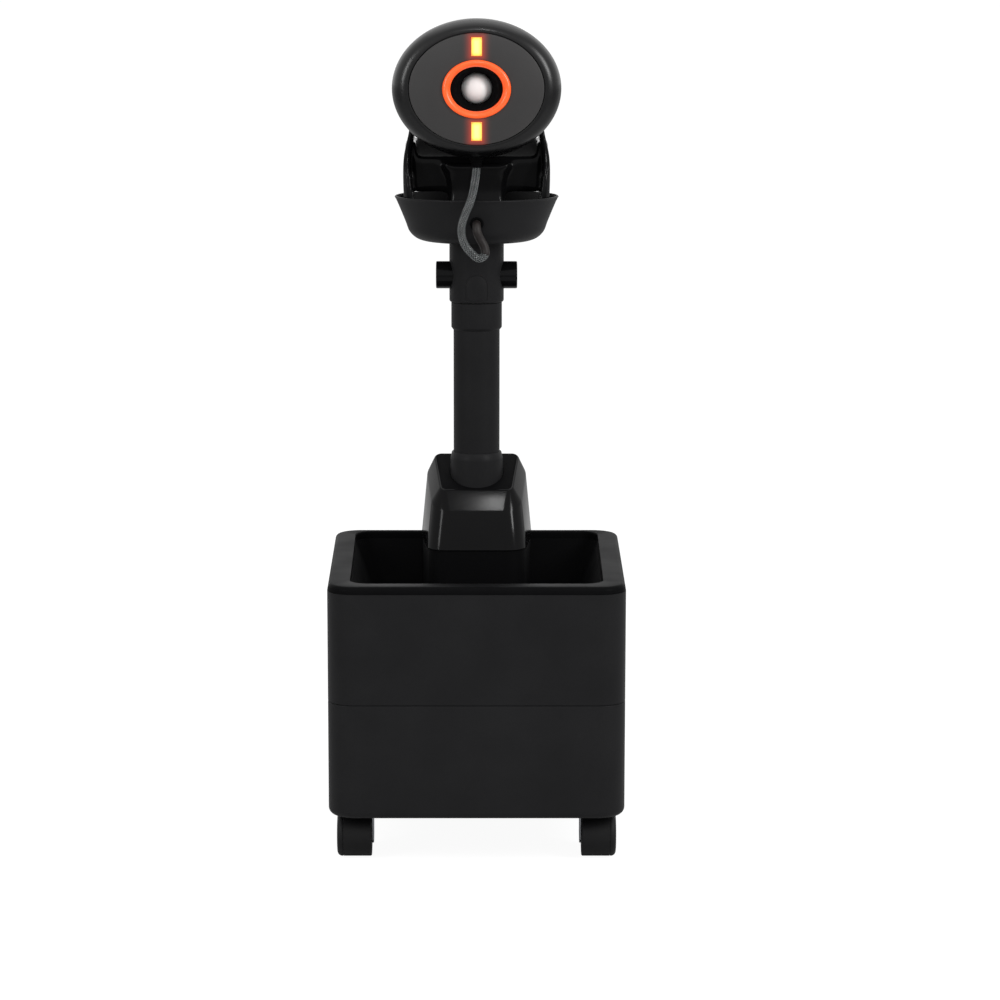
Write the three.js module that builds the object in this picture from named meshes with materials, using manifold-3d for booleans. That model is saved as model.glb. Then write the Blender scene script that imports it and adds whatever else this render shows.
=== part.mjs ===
// Table tennis robot: a wheeled ball bin, a ball-lift column and a head that turns and nods.
// Millimetres, +Z up, front faces -Y, origin on the floor under the middle of the whole robot.
// Depths are counted from the middle of the box, which stands a little in front of the origin.
import * as THREE from 'three';
import { mergeVertices } from 'three/addons/utils/BufferGeometryUtils.js';
import Module from 'manifold-3d';

const wasm = await Module();
wasm.setup();

// Common clearances and sheet thickness
const seatGap = 0.3;
const runningGap = 0.6;
const wall = 3;
const overrun = 8;
const ballRadius = 20;
const ballBore = 22.5;

// Box: lower tub, upper shell, rim and funnel
const bodyFrontWidth = 367;
const bodyRearWidth = 379;
const bodyDepth = 410;
const bodyCornerRadius = 34;
const bodyBottom = 63;
const bodyFillet = 9;
const seamHeight = 207;
const seamBevel = 1.2;
const rimHeight = 355;
const rimThickness = 9;
const rimEdgeRadius = 6;
const rimSideWidth = 28;
const rimBackWidth = 16;
const rimInnerRadius = 24;
const rimStep = 0.7;

// Feed chamber under the funnel's throat
const chamberY = 35;
const chamberRadius = 106;
const chamberFloor = 105;
const chamberTop = 164.7;
const pocketCircle = 83;
const pocketRadius = 22;
const pocketCount = 8;
const rotorRadius = 104;
const rotorThickness = 24;
const rotorLift = 10;
const shaftRadius = 2.1;
const legRadius = 6;
const legCircle = 96;

// Gears: modules, teeth and how the teeth are cut
const pressureAngle = 20 * Math.PI / 180;
const addendumShare = 0.8;
const dedendumShare = 1.05;
const backlash = 0.35;
const feedModule = 3;
const feedGearTeeth = 26;
const yawModule = 2.5;
const yawGearTeeth = 26;
const pitchModule = 1.5;
const pitchGearTeeth = 24;
const pinionTeeth = 14;
const feedGearWidth = 10;
const smallGearWidth = 7;
const gearClearance = 3;
const feedMotorRadius = 18;
const yawMotorRadius = 11;
const yawMotorLength = 26;
const pitchMotorRadius = 9;
const pitchMotorLength = 24;
const motorShaftRadius = 2.4;

// Electrics in the tub
const batteryWidth = 150;
const batteryDepth = 62;
const batteryHeight = 44;
const batteryFront = 168;
const boardWidth = 50;
const boardLength = 130;
const boardThickness = 1.6;
const boardSideGap = 19.5;
const boardX = (bodyFrontWidth + bodyRearWidth) / 4 - boardWidth / 2 - boardSideGap;
const boardHeight = 74;
const postRadius = 4;
const switchX = 60;
const panelHeight = 120;
const switchWidth = 22;
const switchHeight = 13;
const socketRadius = 8;
const socketDepth = 16;

// Wheels and casters
const wheelRadius = 29;
const wheelWidth = 43;
const wheelInset = 9;
const wheelOuterX = bodyFrontWidth / 2 - wheelInset;
const wheelY = 140;
const wheelEdgeRadius = 6;
const bracketThickness = 2;
const bracketWidth = 26;
const axleRadius = 4;
const casterInset = 51.5;
const casterX = bodyRearWidth / 2 - casterInset;
const casterY = 132;
const casterRadius = 26;
const casterWidth = 20;
const casterTrail = 17;
const forkThickness = 2.5;
const swivelRadius = 17;

// Ball-lift tower at the back of the bin
const columnY = 118;
const towerBackY = 188.6;
const towerFrontY = 48;
const towerBackHalf = 76;
const towerFrontHalf = 63;
const towerCornerRadius = 26;
const creaseInset = 2;
const plateFrontHeight = 429;
const shellFrontRise = 75;
const creaseHeight = plateFrontHeight - shellFrontRise;
const footBottom = 165;
const bandBackY = 170;
const bandFrontY = 64;
const bandBackHalf = 68;
const bandFrontHalf = 57;
const bandDrop = 19;
const plateBackY = 157;
const plateFrontY = 78;
const plateBackHalf = 56.5;
const plateFrontHalf = 47;
const plateCornerRadius = 9;
const plateRise = 37;
const plateBackHeight = plateFrontHeight + plateRise;
const plateThickness = 3;
const plateLedge = 7;
const plateInset = 2;

// Column
const socketOuterRadius = 34.5;
const socketClearance = 0.8;
const socketTaperRadius = 32;
const socketTaperHeight = plateBackHeight;
const socketTaperRise = 9;
const socketTop = socketTaperHeight + socketTaperRise;
const socketFlangeRadius = 45;
const socketFlangeThickness = 6;
const tubeOuterRadius = 30.1;
const tubeInnerRadius = 27.2;
const tubeTop = 746;
const ballTubeOuterRadius = 25;
const sleeveRadius = 33;
const sleeveBottom = 636;
const sleeveTop = 671.7;
const sleeveChamfer = 3;
const collarRadius = 35.4;
const collarBottom = 672;
const collarTop = 751.4;
const collarRoof = 5;
const collarChamfer = 2;
const buttonRadius = 17.8;
const buttonHeight = 706.8;
const buttonInnerX = 31.2;
const buttonOuterX = 52.8;
const buttonChamfer = 1.2;
const keyHalfWidth = 13.8;
const keyTop = 708.6;
const keyBottom = 676;
const keyInnerRadius = 31.6;

// Tray, heights in the robot's frame
const trayBottom = 751.7;
const trayRimHeight = 810;
const trayRimRadius = 106.2;
const trayWall = 3;
const traySpindleHole = 31.8;
const spindleOuterRadius = 28;
const spindleInnerRadius = 24.5;
const spindleTop = 782;
const yawGearBottom = 762;
const mountPlateThickness = 2.8;
const mountPlateWidth = 32;
const cableHoleHeight = 780;
const cableHoleRadius = 8.6;
const grommetBore = 3.5;
const grommetLength = 9;

// Cradle, depths from the column's axis; the head sweeps its hollow about the pitch axis
const pivotHeight = 950;
const sweepRadius = 90;
const frontSweepRadius = 102;
const cradleFloorRadius = 64;
const cradleFloorThickness = 4;
const pedestalFootHalf = 46;
const pedestalWaistHalf = 37;
const pedestalTopHalf = 50;
const pedestalFootFront = 44;
const pedestalFront = 34;
const pedestalBack = 26;
const pedestalCorner = 12;
const waistBottom = 808;
const waistTop = 824;
const saddleBottom = 816;
const saddleTop = 881;
const saddleHalf = 92;
const saddleFront = 24;
const saddleBack = 66;
const saddleCorner = 16;
const neckRadius = 25;
const neckTop = 857;
const earBottom = 800;
const earTop = 970;
const earOuterX = 94.3;
const earInnerX = 77;
const earDepth = 62;
const earCorner = 1.6;

// Head, measured from the pitch axis; its oval shapes are round shapes stretched along X
const headRadius = 88;
const headHalfWidth = 107.536;
const headStretch = headHalfWidth / headRadius;
const headFrontY = 96;
const headBackY = 42;
const flangeRadius = 79;
const rearRadius = 72;
const rearHalfWidth = 75.6;
const rearStretch = rearHalfWidth / rearRadius;
const rearLength = 84;
const bossRadius = 11;
const bossDepth = 14;
const facePlateFront = 95.5;
const facePlateThickness = 3;
const ringOuterRadius = 36.6;
const ringHalfWidth = 43.371;
const ringStretch = ringHalfWidth / ringOuterRadius;
const ringCrestRadius = 33;
const ringInnerRadius = 28;
const ringShoulderY = 97;
const ringCrestY = 100;
const ledWidth = 13.6;
const ledLength = 23.4;
const ledOffset = 53;
const muzzleConeY = 78;
const muzzleBackY = 66;
const muzzleBore = 20.6;
const muzzleOuter = 23;
const muzzleFlangeRadius = 44;
const readyBallY = 64;
const throwWheelRadius = 24;
const throwWheelWidth = 20;
const throwWheelY = 47.4;
const throwGap = 35;
const throwShaftRadius = 3;
const framePlateX = 23.4;
const framePlateThickness = 3;
const frameBackY = 14;
const frameHalfHeight = 60;
const throwMotorRadius = 12;
const throwMotorLength = 18;
const elbowOuterRadius = 22.7;
const elbowBore = 20.9;
const elbowBend = 24;
const elbowFoot = 70;
const pinRadius = 5;
const pinCapRadius = 9;
const pinCapThickness = 2;
const pinInnerX = 46;
const glandRadius = 6.2;
const glandLength = 8.1;
const glandY = 60;

// Head cable, a limp sleeved lead, and its route from the head's gland to the tray's grommet
const cableRadius = 5.2;
const cableSides = 8;
const cableSteps = 32;
const cableRoute = [
  [0, 58, 853.3], [0, 58, 849.3], [-0.6, 51.5, 842.6], [-1.5, 40, 836.2], [-2.6, 27, 829.4],
  [-4.1, 15.5, 822.8], [-6.1, 6.6, 815], [-8.8, 2.2, 807], [-14, 0.5, 794.9], [-18.2, 0.2, 782.3],
  [-19.2, 0.4, 771], [-15.4, 1, 757], [-6.4, 2.5, 744.9], [3.2, 5.2, 738], [10.6, 8.4, 742.5],
  [9.6, 9.6, 752.5], [4.4, 8.6, 762.5], [1, 7, 770.5], [0, 9.5, 777.6], [0, 14.2, 780], [0, 19.4, 780],
];

// Outlines as shares: of radius and depth, or of radius and height
const frontShellShares = [
  [0.8, 0.969], [0.809, 1], [0.909, 0.958], [0.977, 0.833], [1, 0.708], [0.983, 0.573], [0.932, 0.469],
  [0.869, 0.4375], [0.83, 0.4375], [0.945, 0.65], [0.932, 0.854], [0.8, 0.9375],
];
const rearShellShares = [[1, 0], [0.97, 0.25], [0.9, 0.49], [0.8, 0.7], [0.6, 0.88], [0.33, 0.97], [0, 1]];
const trayShares = [[0.54, 0], [0.64, 0.006], [0.74, 0.07], [0.82, 0.21], [0.87, 0.44], [0.99, 0.95]];
// An ear's rise, its inner and outer sides, and its front and back
const earShares = [
  [0, 0.848, 0.986, 0.84, 1], [0.18, 0.89, 1, 0.81, 1], [0.365, 0.9, 0.99, 0.61, 0.97],
  [0.55, 0.843, 0.923, 0.435, 0.89], [0.79, 0.8165, 0.87, 0.42, 0.484], [1, 0.8165, 0.864, 0.19, 0.19],
];
const gearFlankShares = [0, 0.5, 1];

// How finely round things are faceted
const fineSides = 32;
const roundSides = 24;
const smallSides = 12;
const cornerSteps = 4;
const funnelEdgeSteps = 3;
const elbowSteps = 8;
const edgeRoundSteps = 3;
const ballRows = 8;
const mergeTolerance = 1e-4;

// Finishes
const finish = (color, roughness, metalness) => (
  new THREE.MeshStandardMaterial({ color, roughness, metalness })
);
const satinBlack = finish('#282829', 0.55, 0);
const glossBlack = finish('#1b1b1d', 0.22, 0);
const deepBlack = finish('#0d0d0e', 0.7, 0);
const rimGrey = finish('#8c8d90', 0.35, 0);
const faceGrey = finish('#444343', 0.5, 0);
const orangeRing = finish('#fa6e2d', 0.3, 0);
const lightBar = finish('#fff08c', 0.4, 0);
const steel = finish('#a7a9ac', 0.35, 0.9);
const rubberBlack = finish('#17171a', 0.85, 0);
const throwRubber = finish('#3b3d42', 0.8, 0);
const gearWhite = finish('#d9d6cc', 0.5, 0);
const batteryBlue = finish('#2b4a78', 0.5, 0);
const boardGreen = finish('#1d5b3a', 0.6, 0);
const ballWhite = finish('#f3f2ee', 0.6, 0);
const sleeveGrey = finish('#8f9496', 0.7, 0);

// Solid helpers: every geometry ends up with merged corners and faces that point out
function tidy(geometry) {
  const bare = new THREE.BufferGeometry();
  bare.setAttribute('position', geometry.getAttribute('position').clone());
  if (geometry.index) bare.setIndex(geometry.index.clone());
  const merged = mergeVertices(bare, mergeTolerance);
  const index = merged.index.array;
  const kept = [];
  for (let i = 0; i < index.length; i += 3) {
    const [a, b, c] = [index[i], index[i + 1], index[i + 2]];
    if (a !== b && b !== c && c !== a) kept.push(a, b, c);
  }
  merged.setIndex(kept);
  if (signedVolume(merged) < 0) flip(merged);
  merged.computeVertexNormals();
  return merged;
}

function signedVolume(geometry) {
  const position = geometry.getAttribute('position');
  const index = geometry.index.array;
  const [a, b, c] = [new THREE.Vector3(), new THREE.Vector3(), new THREE.Vector3()];
  let sum = 0;
  for (let i = 0; i < index.length; i += 3) {
    a.fromBufferAttribute(position, index[i]);
    b.fromBufferAttribute(position, index[i + 1]);
    c.fromBufferAttribute(position, index[i + 2]);
    sum += a.dot(b.cross(c));
  }
  return sum;
}

function flip(geometry) {
  const index = geometry.index.array;
  for (let i = 0; i < index.length; i += 3) [index[i], index[i + 1]] = [index[i + 1], index[i]];
}

function solidOf(geometry) {
  const clean = tidy(geometry);
  return new wasm.Manifold(new wasm.Mesh({
    numProp: 3,
    vertProperties: new Float32Array(clean.getAttribute('position').array),
    triVerts: new Uint32Array(clean.index.array),
  }));
}

function geometryOf(solid) {
  const mesh = solid.getMesh();
  const geometry = new THREE.BufferGeometry();
  geometry.setAttribute('position', new THREE.BufferAttribute(new Float32Array(mesh.vertProperties), 3));
  geometry.setIndex(Array.from(mesh.triVerts));
  return geometry;
}

function join(...geometries) {
  return geometryOf(geometries.map(solidOf).reduce((whole, next) => whole.add(next)));
}

function cut(geometry, ...tools) {
  return geometryOf(tools.map(solidOf).reduce((whole, tool) => whole.subtract(tool), solidOf(geometry)));
}

function common(first, second) {
  return geometryOf(solidOf(first).intersect(solidOf(second)));
}

// Shape helpers
function block(x0, x1, y0, y1, z0, z1) {
  const box = new THREE.BoxGeometry(x1 - x0, y1 - y0, z1 - z0);
  return box.translate((x0 + x1) / 2, (y0 + y1) / 2, (z0 + z1) / 2);
}

function lathe(profile, sides = roundSides) {
  const points = profile.map(([r, h]) => new THREE.Vector2(r, h));
  return tidy(new THREE.LatheGeometry(points, sides)).rotateX(Math.PI / 2);
}

// A lathe about the head's launch axis: [radius, distance in front of the pitch axis]
function latheForward(profile, stretch = 1, sides = fineSides) {
  return lathe(profile, sides).rotateX(Math.PI / 2).scale(stretch, 1, 1);
}

// A ring of rectangular section that stands on z0, or a disc when the inner radius is 0
function ring(inner, outer, z0, z1, sides = roundSides) {
  if (inner === 0) return lathe([[0, z0], [outer, z0], [outer, z1], [0, z1]], sides);
  return lathe([[inner, z0], [outer, z0], [outer, z1], [inner, z1], [inner, z0]], sides);
}

// The same ring lying along X
function ringAlongX(inner, outer, x0, x1, sides = smallSides) {
  return ring(inner, outer, x0, x1, sides).rotateY(Math.PI / 2);
}

function ringAlongY(inner, outer, y0, y1, sides = smallSides) {
  return ring(inner, outer, y0, y1, sides).rotateX(-Math.PI / 2);
}

function prism(points, z0, z1) {
  const shape = new THREE.Shape(points);
  return new THREE.ExtrudeGeometry(shape, { depth: z1 - z0, bevelEnabled: false }).translate(0, 0, z0);
}

// Outline with rounded corners, given counter-clockwise
function roundedOutline(corners, radius) {
  const outline = [];
  const count = corners.length;
  for (let i = 0; i < count; i += 1) {
    const corner = new THREE.Vector2(...corners[i]);
    const before = new THREE.Vector2(...corners[(i + count - 1) % count]).sub(corner).normalize();
    const after = new THREE.Vector2(...corners[(i + 1) % count]).sub(corner).normalize();
    const half = Math.acos(before.dot(after)) / 2;
    const centre = before.clone().add(after).normalize()
      .multiplyScalar(radius / Math.sin(half)).add(corner);
    const from = corner.clone().addScaledVector(before, radius / Math.tan(half)).sub(centre);
    const to = corner.clone().addScaledVector(after, radius / Math.tan(half)).sub(centre);
    const start = from.angle();
    const sweep = (to.angle() - start + 2 * Math.PI) % (2 * Math.PI);
    for (let step = 0; step <= cornerSteps; step += 1) {
      const angle = start + sweep * step / cornerSteps;
      outline.push(new THREE.Vector2(radius * Math.cos(angle), radius * Math.sin(angle)).add(centre));
    }
  }
  return outline;
}

// The same outline with its straight edges divided, so that it can be lofted to a circle
function divided(outline) {
  const points = [];
  outline.forEach((point, i) => {
    points.push(point);
    if ((i + 1) % (cornerSteps + 1) !== 0) return;
    const next = outline[(i + 1) % outline.length];
    for (let step = 1; step < funnelEdgeSteps; step += 1) {
      points.push(point.clone().lerp(next, step / funnelEdgeSteps));
    }
  });
  return points;
}

// A trapezoid in plan: half widths at its front and back edges
function trapezoid(frontHalf, backHalf, frontY, backY, radius) {
  const corners = [[-frontHalf, frontY], [frontHalf, frontY], [backHalf, backY], [-backHalf, backY]];
  return roundedOutline(corners, radius);
}

const level = (outline, height) => outline.map((p) => new THREE.Vector3(p.x, p.y, height));

// Skin over a stack of convex outlines with equal point counts, from the lowest to the highest
function loft(sections) {
  const count = sections[0].length;
  const last = (sections.length - 1) * count;
  const middles = [sections[0], sections[sections.length - 1]].map((section) => (
    section.reduce((sum, p) => sum.add(p), new THREE.Vector3()).divideScalar(count)
  ));
  const positions = [...sections.flat(), ...middles].flatMap((p) => [p.x, p.y, p.z]);
  const index = [];
  for (let s = 0; s + 1 < sections.length; s += 1) {
    for (let i = 0; i < count; i += 1) {
      const [a, b] = [s * count + i, s * count + (i + 1) % count];
      index.push(a, b, b + count, a, b + count, a + count);
    }
  }
  for (let i = 0; i < count; i += 1) {
    const next = (i + 1) % count;
    index.push(next, i, last + count);
    index.push(last + i, last + next, last + count + 1);
  }
  const geometry = new THREE.BufferGeometry();
  geometry.setAttribute('position', new THREE.Float32BufferAttribute(positions, 3));
  geometry.setIndex(index);
  return geometry;
}

// Involute spur gear about Z; the first tooth is centred on the angle turn
const involute = (angle) => Math.tan(angle) - angle;

function gearOutline(teeth, module, turn) {
  const pitch = teeth * module / 2;
  const base = pitch * Math.cos(pressureAngle);
  const tip = pitch + addendumShare * module;
  const root = pitch - dedendumShare * module;
  const halfTooth = (Math.PI / 2 - backlash / module / 2) / teeth;
  const start = Math.max(base, root);
  const flank = gearFlankShares.map((share) => {
    const radius = start + (tip - start) * share;
    return [radius, halfTooth + involute(pressureAngle) - involute(Math.acos(Math.min(1, base / radius)))];
  });
  const half = [[root, flank[0][1]], ...flank];
  const points = [];
  for (let tooth = 0; tooth < teeth; tooth += 1) {
    const middle = turn + tooth * 2 * Math.PI / teeth;
    for (const [radius, angle] of half) points.push(polar(radius, middle - angle));
    for (const [radius, angle] of half.slice().reverse()) points.push(polar(radius, middle + angle));
  }
  return points;
}

const polar = (radius, angle) => new THREE.Vector2(radius * Math.cos(angle), radius * Math.sin(angle));
const centreDistance = (module, teeth) => module * (teeth + pinionTeeth) / 2;

// A gear tooth points at the pinion; the pinion turns by half a tooth to take it
function gearWheel(module, teeth, z0, width, bore, turn) {
  const wheel = prism(gearOutline(teeth, module, turn), z0, z0 + width);
  return cut(wheel, ring(0, bore, z0 - overrun, z0 + width + overrun));
}

const group = new THREE.Group();

// The tray reaches out behind the box, so the robot stands half of that in front of the origin
const robot = new THREE.Group();
robot.position.y = -(columnY + trayRimRadius - bodyDepth / 2) / 2;
group.add(robot);

function piece(name, geometry, material, parent = robot) {
  const mesh = new THREE.Mesh(tidy(geometry), material);
  mesh.name = name;
  parent.add(mesh);
  return mesh;
}

// Groups whose origins sit on the column's axis and on the pitch axis
const column = new THREE.Group();
column.position.y = columnY;
robot.add(column);
const head = new THREE.Group();
head.position.z = pivotHeight;
column.add(head);

// Box outlines
function bodyOutline(inset) {
  return trapezoid(
    bodyFrontWidth / 2 - inset, bodyRearWidth / 2 - inset,
    inset - bodyDepth / 2, bodyDepth / 2 - inset, bodyCornerRadius - inset,
  );
}

function binOutline(outset) {
  const frontHalf = bodyFrontWidth / 2 - rimSideWidth + outset;
  const backHalf = bodyRearWidth / 2 - rimSideWidth + outset;
  const frontY = rimSideWidth - bodyDepth / 2 - outset;
  const backY = bodyDepth / 2 - rimBackWidth + outset;
  return trapezoid(frontHalf, backHalf, frontY, backY, rimInnerRadius + outset);
}

// The chamber's circle with one point for each point of the bin's outline
function throatOutline(outline, radius) {
  const middle = new THREE.Vector2(0, chamberY);
  return outline.map((p) => polar(radius, Math.atan2(p.y - chamberY, p.x)).add(middle));
}

const panelY = bodyDepth / 2;
const bodyInside = bodyBottom + wall;

function makeTub() {
  const bottom = [];
  for (let step = 0; step <= edgeRoundSteps; step += 1) {
    const angle = Math.PI / 2 * step / edgeRoundSteps;
    const inset = bodyFillet * (1 - Math.sin(angle));
    bottom.push(level(bodyOutline(inset), bodyBottom + bodyFillet * (1 - Math.cos(angle))));
  }
  const top = seamHeight - seatGap / 2;
  const outer = loft([
    ...bottom, level(bodyOutline(0), top - seamBevel), level(bodyOutline(seamBevel), top),
  ]);
  const inner = loft([
    level(bodyOutline(wall + bodyFillet), bodyInside),
    level(bodyOutline(wall), bodyInside + bodyFillet),
    level(bodyOutline(wall), seamHeight + overrun),
  ]);
  const switchCut = block(
    -switchX - switchWidth / 2 - seatGap, -switchX + switchWidth / 2 + seatGap,
    panelY - overrun, panelY + overrun,
    panelHeight - switchHeight / 2 - seatGap * 2, panelHeight + switchHeight / 2 + seatGap * 2,
  );
  const socketCut = ringAlongY(0, socketRadius + seatGap, panelY - overrun, panelY + overrun)
    .translate(switchX, 0, panelHeight);
  const shell = cut(outer, inner, switchCut, socketCut);
  const legs = [];
  for (const quarter of [0, 1, 2, 3]) {
    const spot = polar(legCircle, Math.PI / 4 + quarter * Math.PI / 2);
    legs.push(ring(0, legRadius, bodyInside - wall / 2, chamberFloor - seatGap, smallSides)
      .translate(spot.x, spot.y + chamberY, 0));
  }
  const boardPosts = [];
  for (const side of [-1, 1]) {
    for (const end of [-1, 1]) {
      boardPosts.push(ring(0, postRadius, bodyInside - wall / 2, boardHeight - seatGap, smallSides)
        .translate(side * (boardWidth / 2 - postRadius) - boardX, end * (boardLength / 2 - postRadius), 0));
    }
  }
  const boreRadius = shaftRadius + seatGap;
  const bearing = ring(0, boreRadius + wall, bodyInside - wall / 2, bodyInside + wall, smallSides);
  const bore = ring(0, boreRadius, bodyInside, bodyInside + overrun, smallSides);
  const posts = join(shell, ...legs, ...boardPosts, bearing.translate(0, chamberY, 0));
  return cut(posts, bore.translate(0, chamberY, 0));
}

function makeUpperShell() {
  const bottom = seamHeight + seatGap / 2;
  const top = rimHeight - rimThickness - seatGap;
  const outer = loft([
    level(bodyOutline(seamBevel), bottom), level(bodyOutline(0), bottom + seamBevel),
    level(bodyOutline(0), top),
  ]);
  const inner = loft([level(bodyOutline(wall), bottom - overrun), level(bodyOutline(wall), top + overrun)]);
  return cut(outer, inner);
}

function makeRim() {
  const bottom = rimHeight - rimThickness;
  const edge = [];
  for (let step = 0; step <= edgeRoundSteps; step += 1) {
    const angle = Math.PI / 2 * step / edgeRoundSteps;
    const inset = rimStep + rimEdgeRadius * (1 - Math.cos(angle));
    edge.push(level(bodyOutline(inset), rimHeight - rimEdgeRadius * (1 - Math.sin(angle))));
  }
  const outer = loft([level(bodyOutline(rimStep), bottom), ...edge]);
  const inner = loft([
    level(binOutline(0), bottom - overrun), level(binOutline(0), rimHeight - wall),
    level(binOutline(wall / 2), rimHeight), level(binOutline(wall / 2), rimHeight + overrun),
  ]);
  return cut(outer, inner);
}

// The tower's plan at any height below the crease, grown or shrunk by a margin
function towerOutline(margin) {
  return trapezoid(
    towerFrontHalf + margin, towerBackHalf + margin, towerFrontY - margin, towerBackY + margin,
    towerCornerRadius + margin,
  );
}

const footInset = -creaseInset;

function makeFunnel() {
  const top = rimHeight - rimThickness - seatGap;
  const bottom = chamberTop + seatGap;
  const inner = divided(binOutline(0));
  const outer = divided(binOutline(wall));
  const skin = loft([level(throatOutline(outer, chamberRadius + wall), bottom), level(outer, top)]);
  const hollow = loft([
    level(throatOutline(inner, chamberRadius), bottom - overrun),
    level(throatOutline(inner, chamberRadius), bottom),
    level(inner, top), level(inner, top + overrun),
  ]);
  const holeOutline = towerOutline(footInset + seatGap);
  const towerHole = loft([level(holeOutline, bottom - overrun), level(holeOutline, top + overrun)]);
  const shellOutline = towerOutline(seatGap);
  const shellHole = loft([level(shellOutline, creaseHeight - seatGap), level(shellOutline, plateBackHeight)]);
  return cut(skin, hollow, towerHole, shellHole);
}

function makeFoot() {
  const top = creaseHeight - seatGap;
  const outer = loft([level(towerOutline(footInset), footBottom), level(towerOutline(footInset), top)]);
  const innerOutline = towerOutline(footInset - wall);
  const inner = loft([level(innerOutline, footBottom + wall), level(innerOutline, top - wall)]);
  const tubeHole = ring(0, ballTubeOuterRadius + seatGap, footBottom - overrun, top + overrun)
    .translate(0, columnY, 0);
  return cut(outer, inner, tubeHole);
}

// The sloping plane of the tower's top plate
const plateSlope = (plateBackHeight - plateFrontHeight) / (plateBackY - plateFrontY);
const plateHeightAt = (y) => plateFrontHeight + (y - plateFrontY) * plateSlope;

function slopingPlate(inset, drop) {
  const outline = trapezoid(
    plateFrontHalf - inset, plateBackHalf - inset, plateFrontY + inset, plateBackY - inset,
    plateCornerRadius,
  );
  return outline.map((p) => new THREE.Vector3(p.x, p.y, plateHeightAt(p.y) - drop));
}

function slopingBand(inset, drop) {
  const outline = trapezoid(
    bandFrontHalf - inset, bandBackHalf - inset, bandFrontY + inset, bandBackY - inset,
    towerCornerRadius - inset,
  );
  return outline.map((p) => new THREE.Vector3(p.x, p.y, plateHeightAt(p.y) - bandDrop - drop));
}

// Room for the bottom collar where it comes up through the sloping top
function socketRoom() {
  return ring(0, socketOuterRadius + socketClearance, creaseHeight + wall, plateBackHeight + overrun)
    .translate(0, columnY, 0);
}

function makeTower() {
  const outer = loft([level(towerOutline(0), creaseHeight), slopingBand(0, 0), slopingPlate(0, 0)]);
  const inner = loft([
    level(towerOutline(-wall), creaseHeight - overrun), level(towerOutline(-wall), creaseHeight),
    slopingBand(wall, wall), slopingPlate(wall, plateThickness + wall),
  ]);
  const belowPlate = plateThickness + wall + overrun;
  const opening = loft([slopingPlate(plateLedge, belowPlate), slopingPlate(plateLedge, -overrun)]);
  const recess = loft([slopingPlate(plateInset, plateThickness), slopingPlate(plateInset, -overrun)]);
  return cut(outer, inner, opening, recess, socketRoom());
}

function makeTopPlate() {
  const inset = plateInset + seatGap;
  return cut(loft([slopingPlate(inset, plateThickness - seatGap), slopingPlate(inset, 0)]), socketRoom());
}

piece('base_tub', makeTub(), satinBlack);
piece('upper_shell', makeUpperShell(), satinBlack);
piece('bin_rim', makeRim(), rimGrey);
piece('bin_funnel', makeFunnel(), deepBlack);
piece('tower_foot', makeFoot(), deepBlack);
piece('tower_shell', makeTower(), glossBlack);
piece('tower_top_plate', makeTopPlate(), deepBlack);

// Feed mechanism: balls drop into the rotor's pockets and are carried under the ball tube
const gearBottom = chamberFloor - gearClearance - feedGearWidth;
const feedCentre = centreDistance(feedModule, feedGearTeeth);

function makeChamber() {
  const cup = lathe([
    [0, chamberFloor], [chamberRadius + wall, chamberFloor], [chamberRadius + wall, chamberTop],
    [chamberRadius, chamberTop], [chamberRadius, chamberFloor + wall], [0, chamberFloor + wall],
  ], fineSides);
  const [holeBottom, holeTop] = [chamberFloor - overrun, chamberFloor + overrun];
  return cut(cup, ring(0, shaftRadius + seatGap, holeBottom, holeTop, smallSides));
}

function makeRotor() {
  const bottom = chamberFloor + wall + rotorLift;
  const disc = ring(shaftRadius + seatGap, rotorRadius, bottom, bottom + rotorThickness, fineSides);
  const pockets = [];
  for (let pocket = 0; pocket < pocketCount; pocket += 1) {
    const spot = polar(pocketCircle, Math.PI / 2 + pocket * 2 * Math.PI / pocketCount);
    pockets.push(ring(0, pocketRadius, bottom - overrun, bottom + rotorThickness + overrun, smallSides)
      .translate(spot.x, spot.y, 0));
  }
  return cut(disc, ...pockets);
}

function makeRotorGear() {
  const top = chamberFloor + wall + rotorLift + rotorThickness;
  const shaft = ring(0, shaftRadius, bodyInside + seatGap, top, smallSides);
  const gear = prism(gearOutline(feedGearTeeth, feedModule, 0), gearBottom, gearBottom + feedGearWidth);
  return join(gear, shaft);
}

// A pinion whose gap faces back towards the gear that its centre is offset from by the angle
function pinionOutline(module, angle) {
  return gearOutline(pinionTeeth, module, angle + Math.PI + Math.PI / pinionTeeth);
}

const feed = new THREE.Group();
feed.position.y = chamberY;
robot.add(feed);
piece('feed_chamber', makeChamber(), deepBlack, feed);
piece('feed_rotor', makeRotor(), throwRubber, feed);
piece('rotor_gear', makeRotorGear(), gearWhite, feed);
const feedPinionShape = prism(pinionOutline(feedModule, 0), gearBottom, gearBottom + feedGearWidth);
piece('feed_pinion', feedPinionShape, steel, feed).position.x = feedCentre;
const feedMotorShape = ring(0, feedMotorRadius, bodyInside + seatGap, gearBottom - seatGap, roundSides);
piece('feed_motor', feedMotorShape, steel, feed).position.x = feedCentre;

const ballTube = ring(ballBore, ballTubeOuterRadius, footBottom, tubeTop);
piece('ball_tube', ballTube, throwRubber, column);

// Battery, board, switch and socket
const batteryShape = block(
  -batteryWidth / 2, batteryWidth / 2, -batteryFront, batteryDepth - batteryFront,
  bodyInside + seatGap, bodyInside + seatGap + batteryHeight,
);
piece('battery_pack', batteryShape, batteryBlue);
const boardShape = block(
  -boardX - boardWidth / 2, boardWidth / 2 - boardX, -boardLength / 2, boardLength / 2,
  boardHeight, boardHeight + boardThickness,
);
piece('control_board', boardShape, boardGreen);

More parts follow.
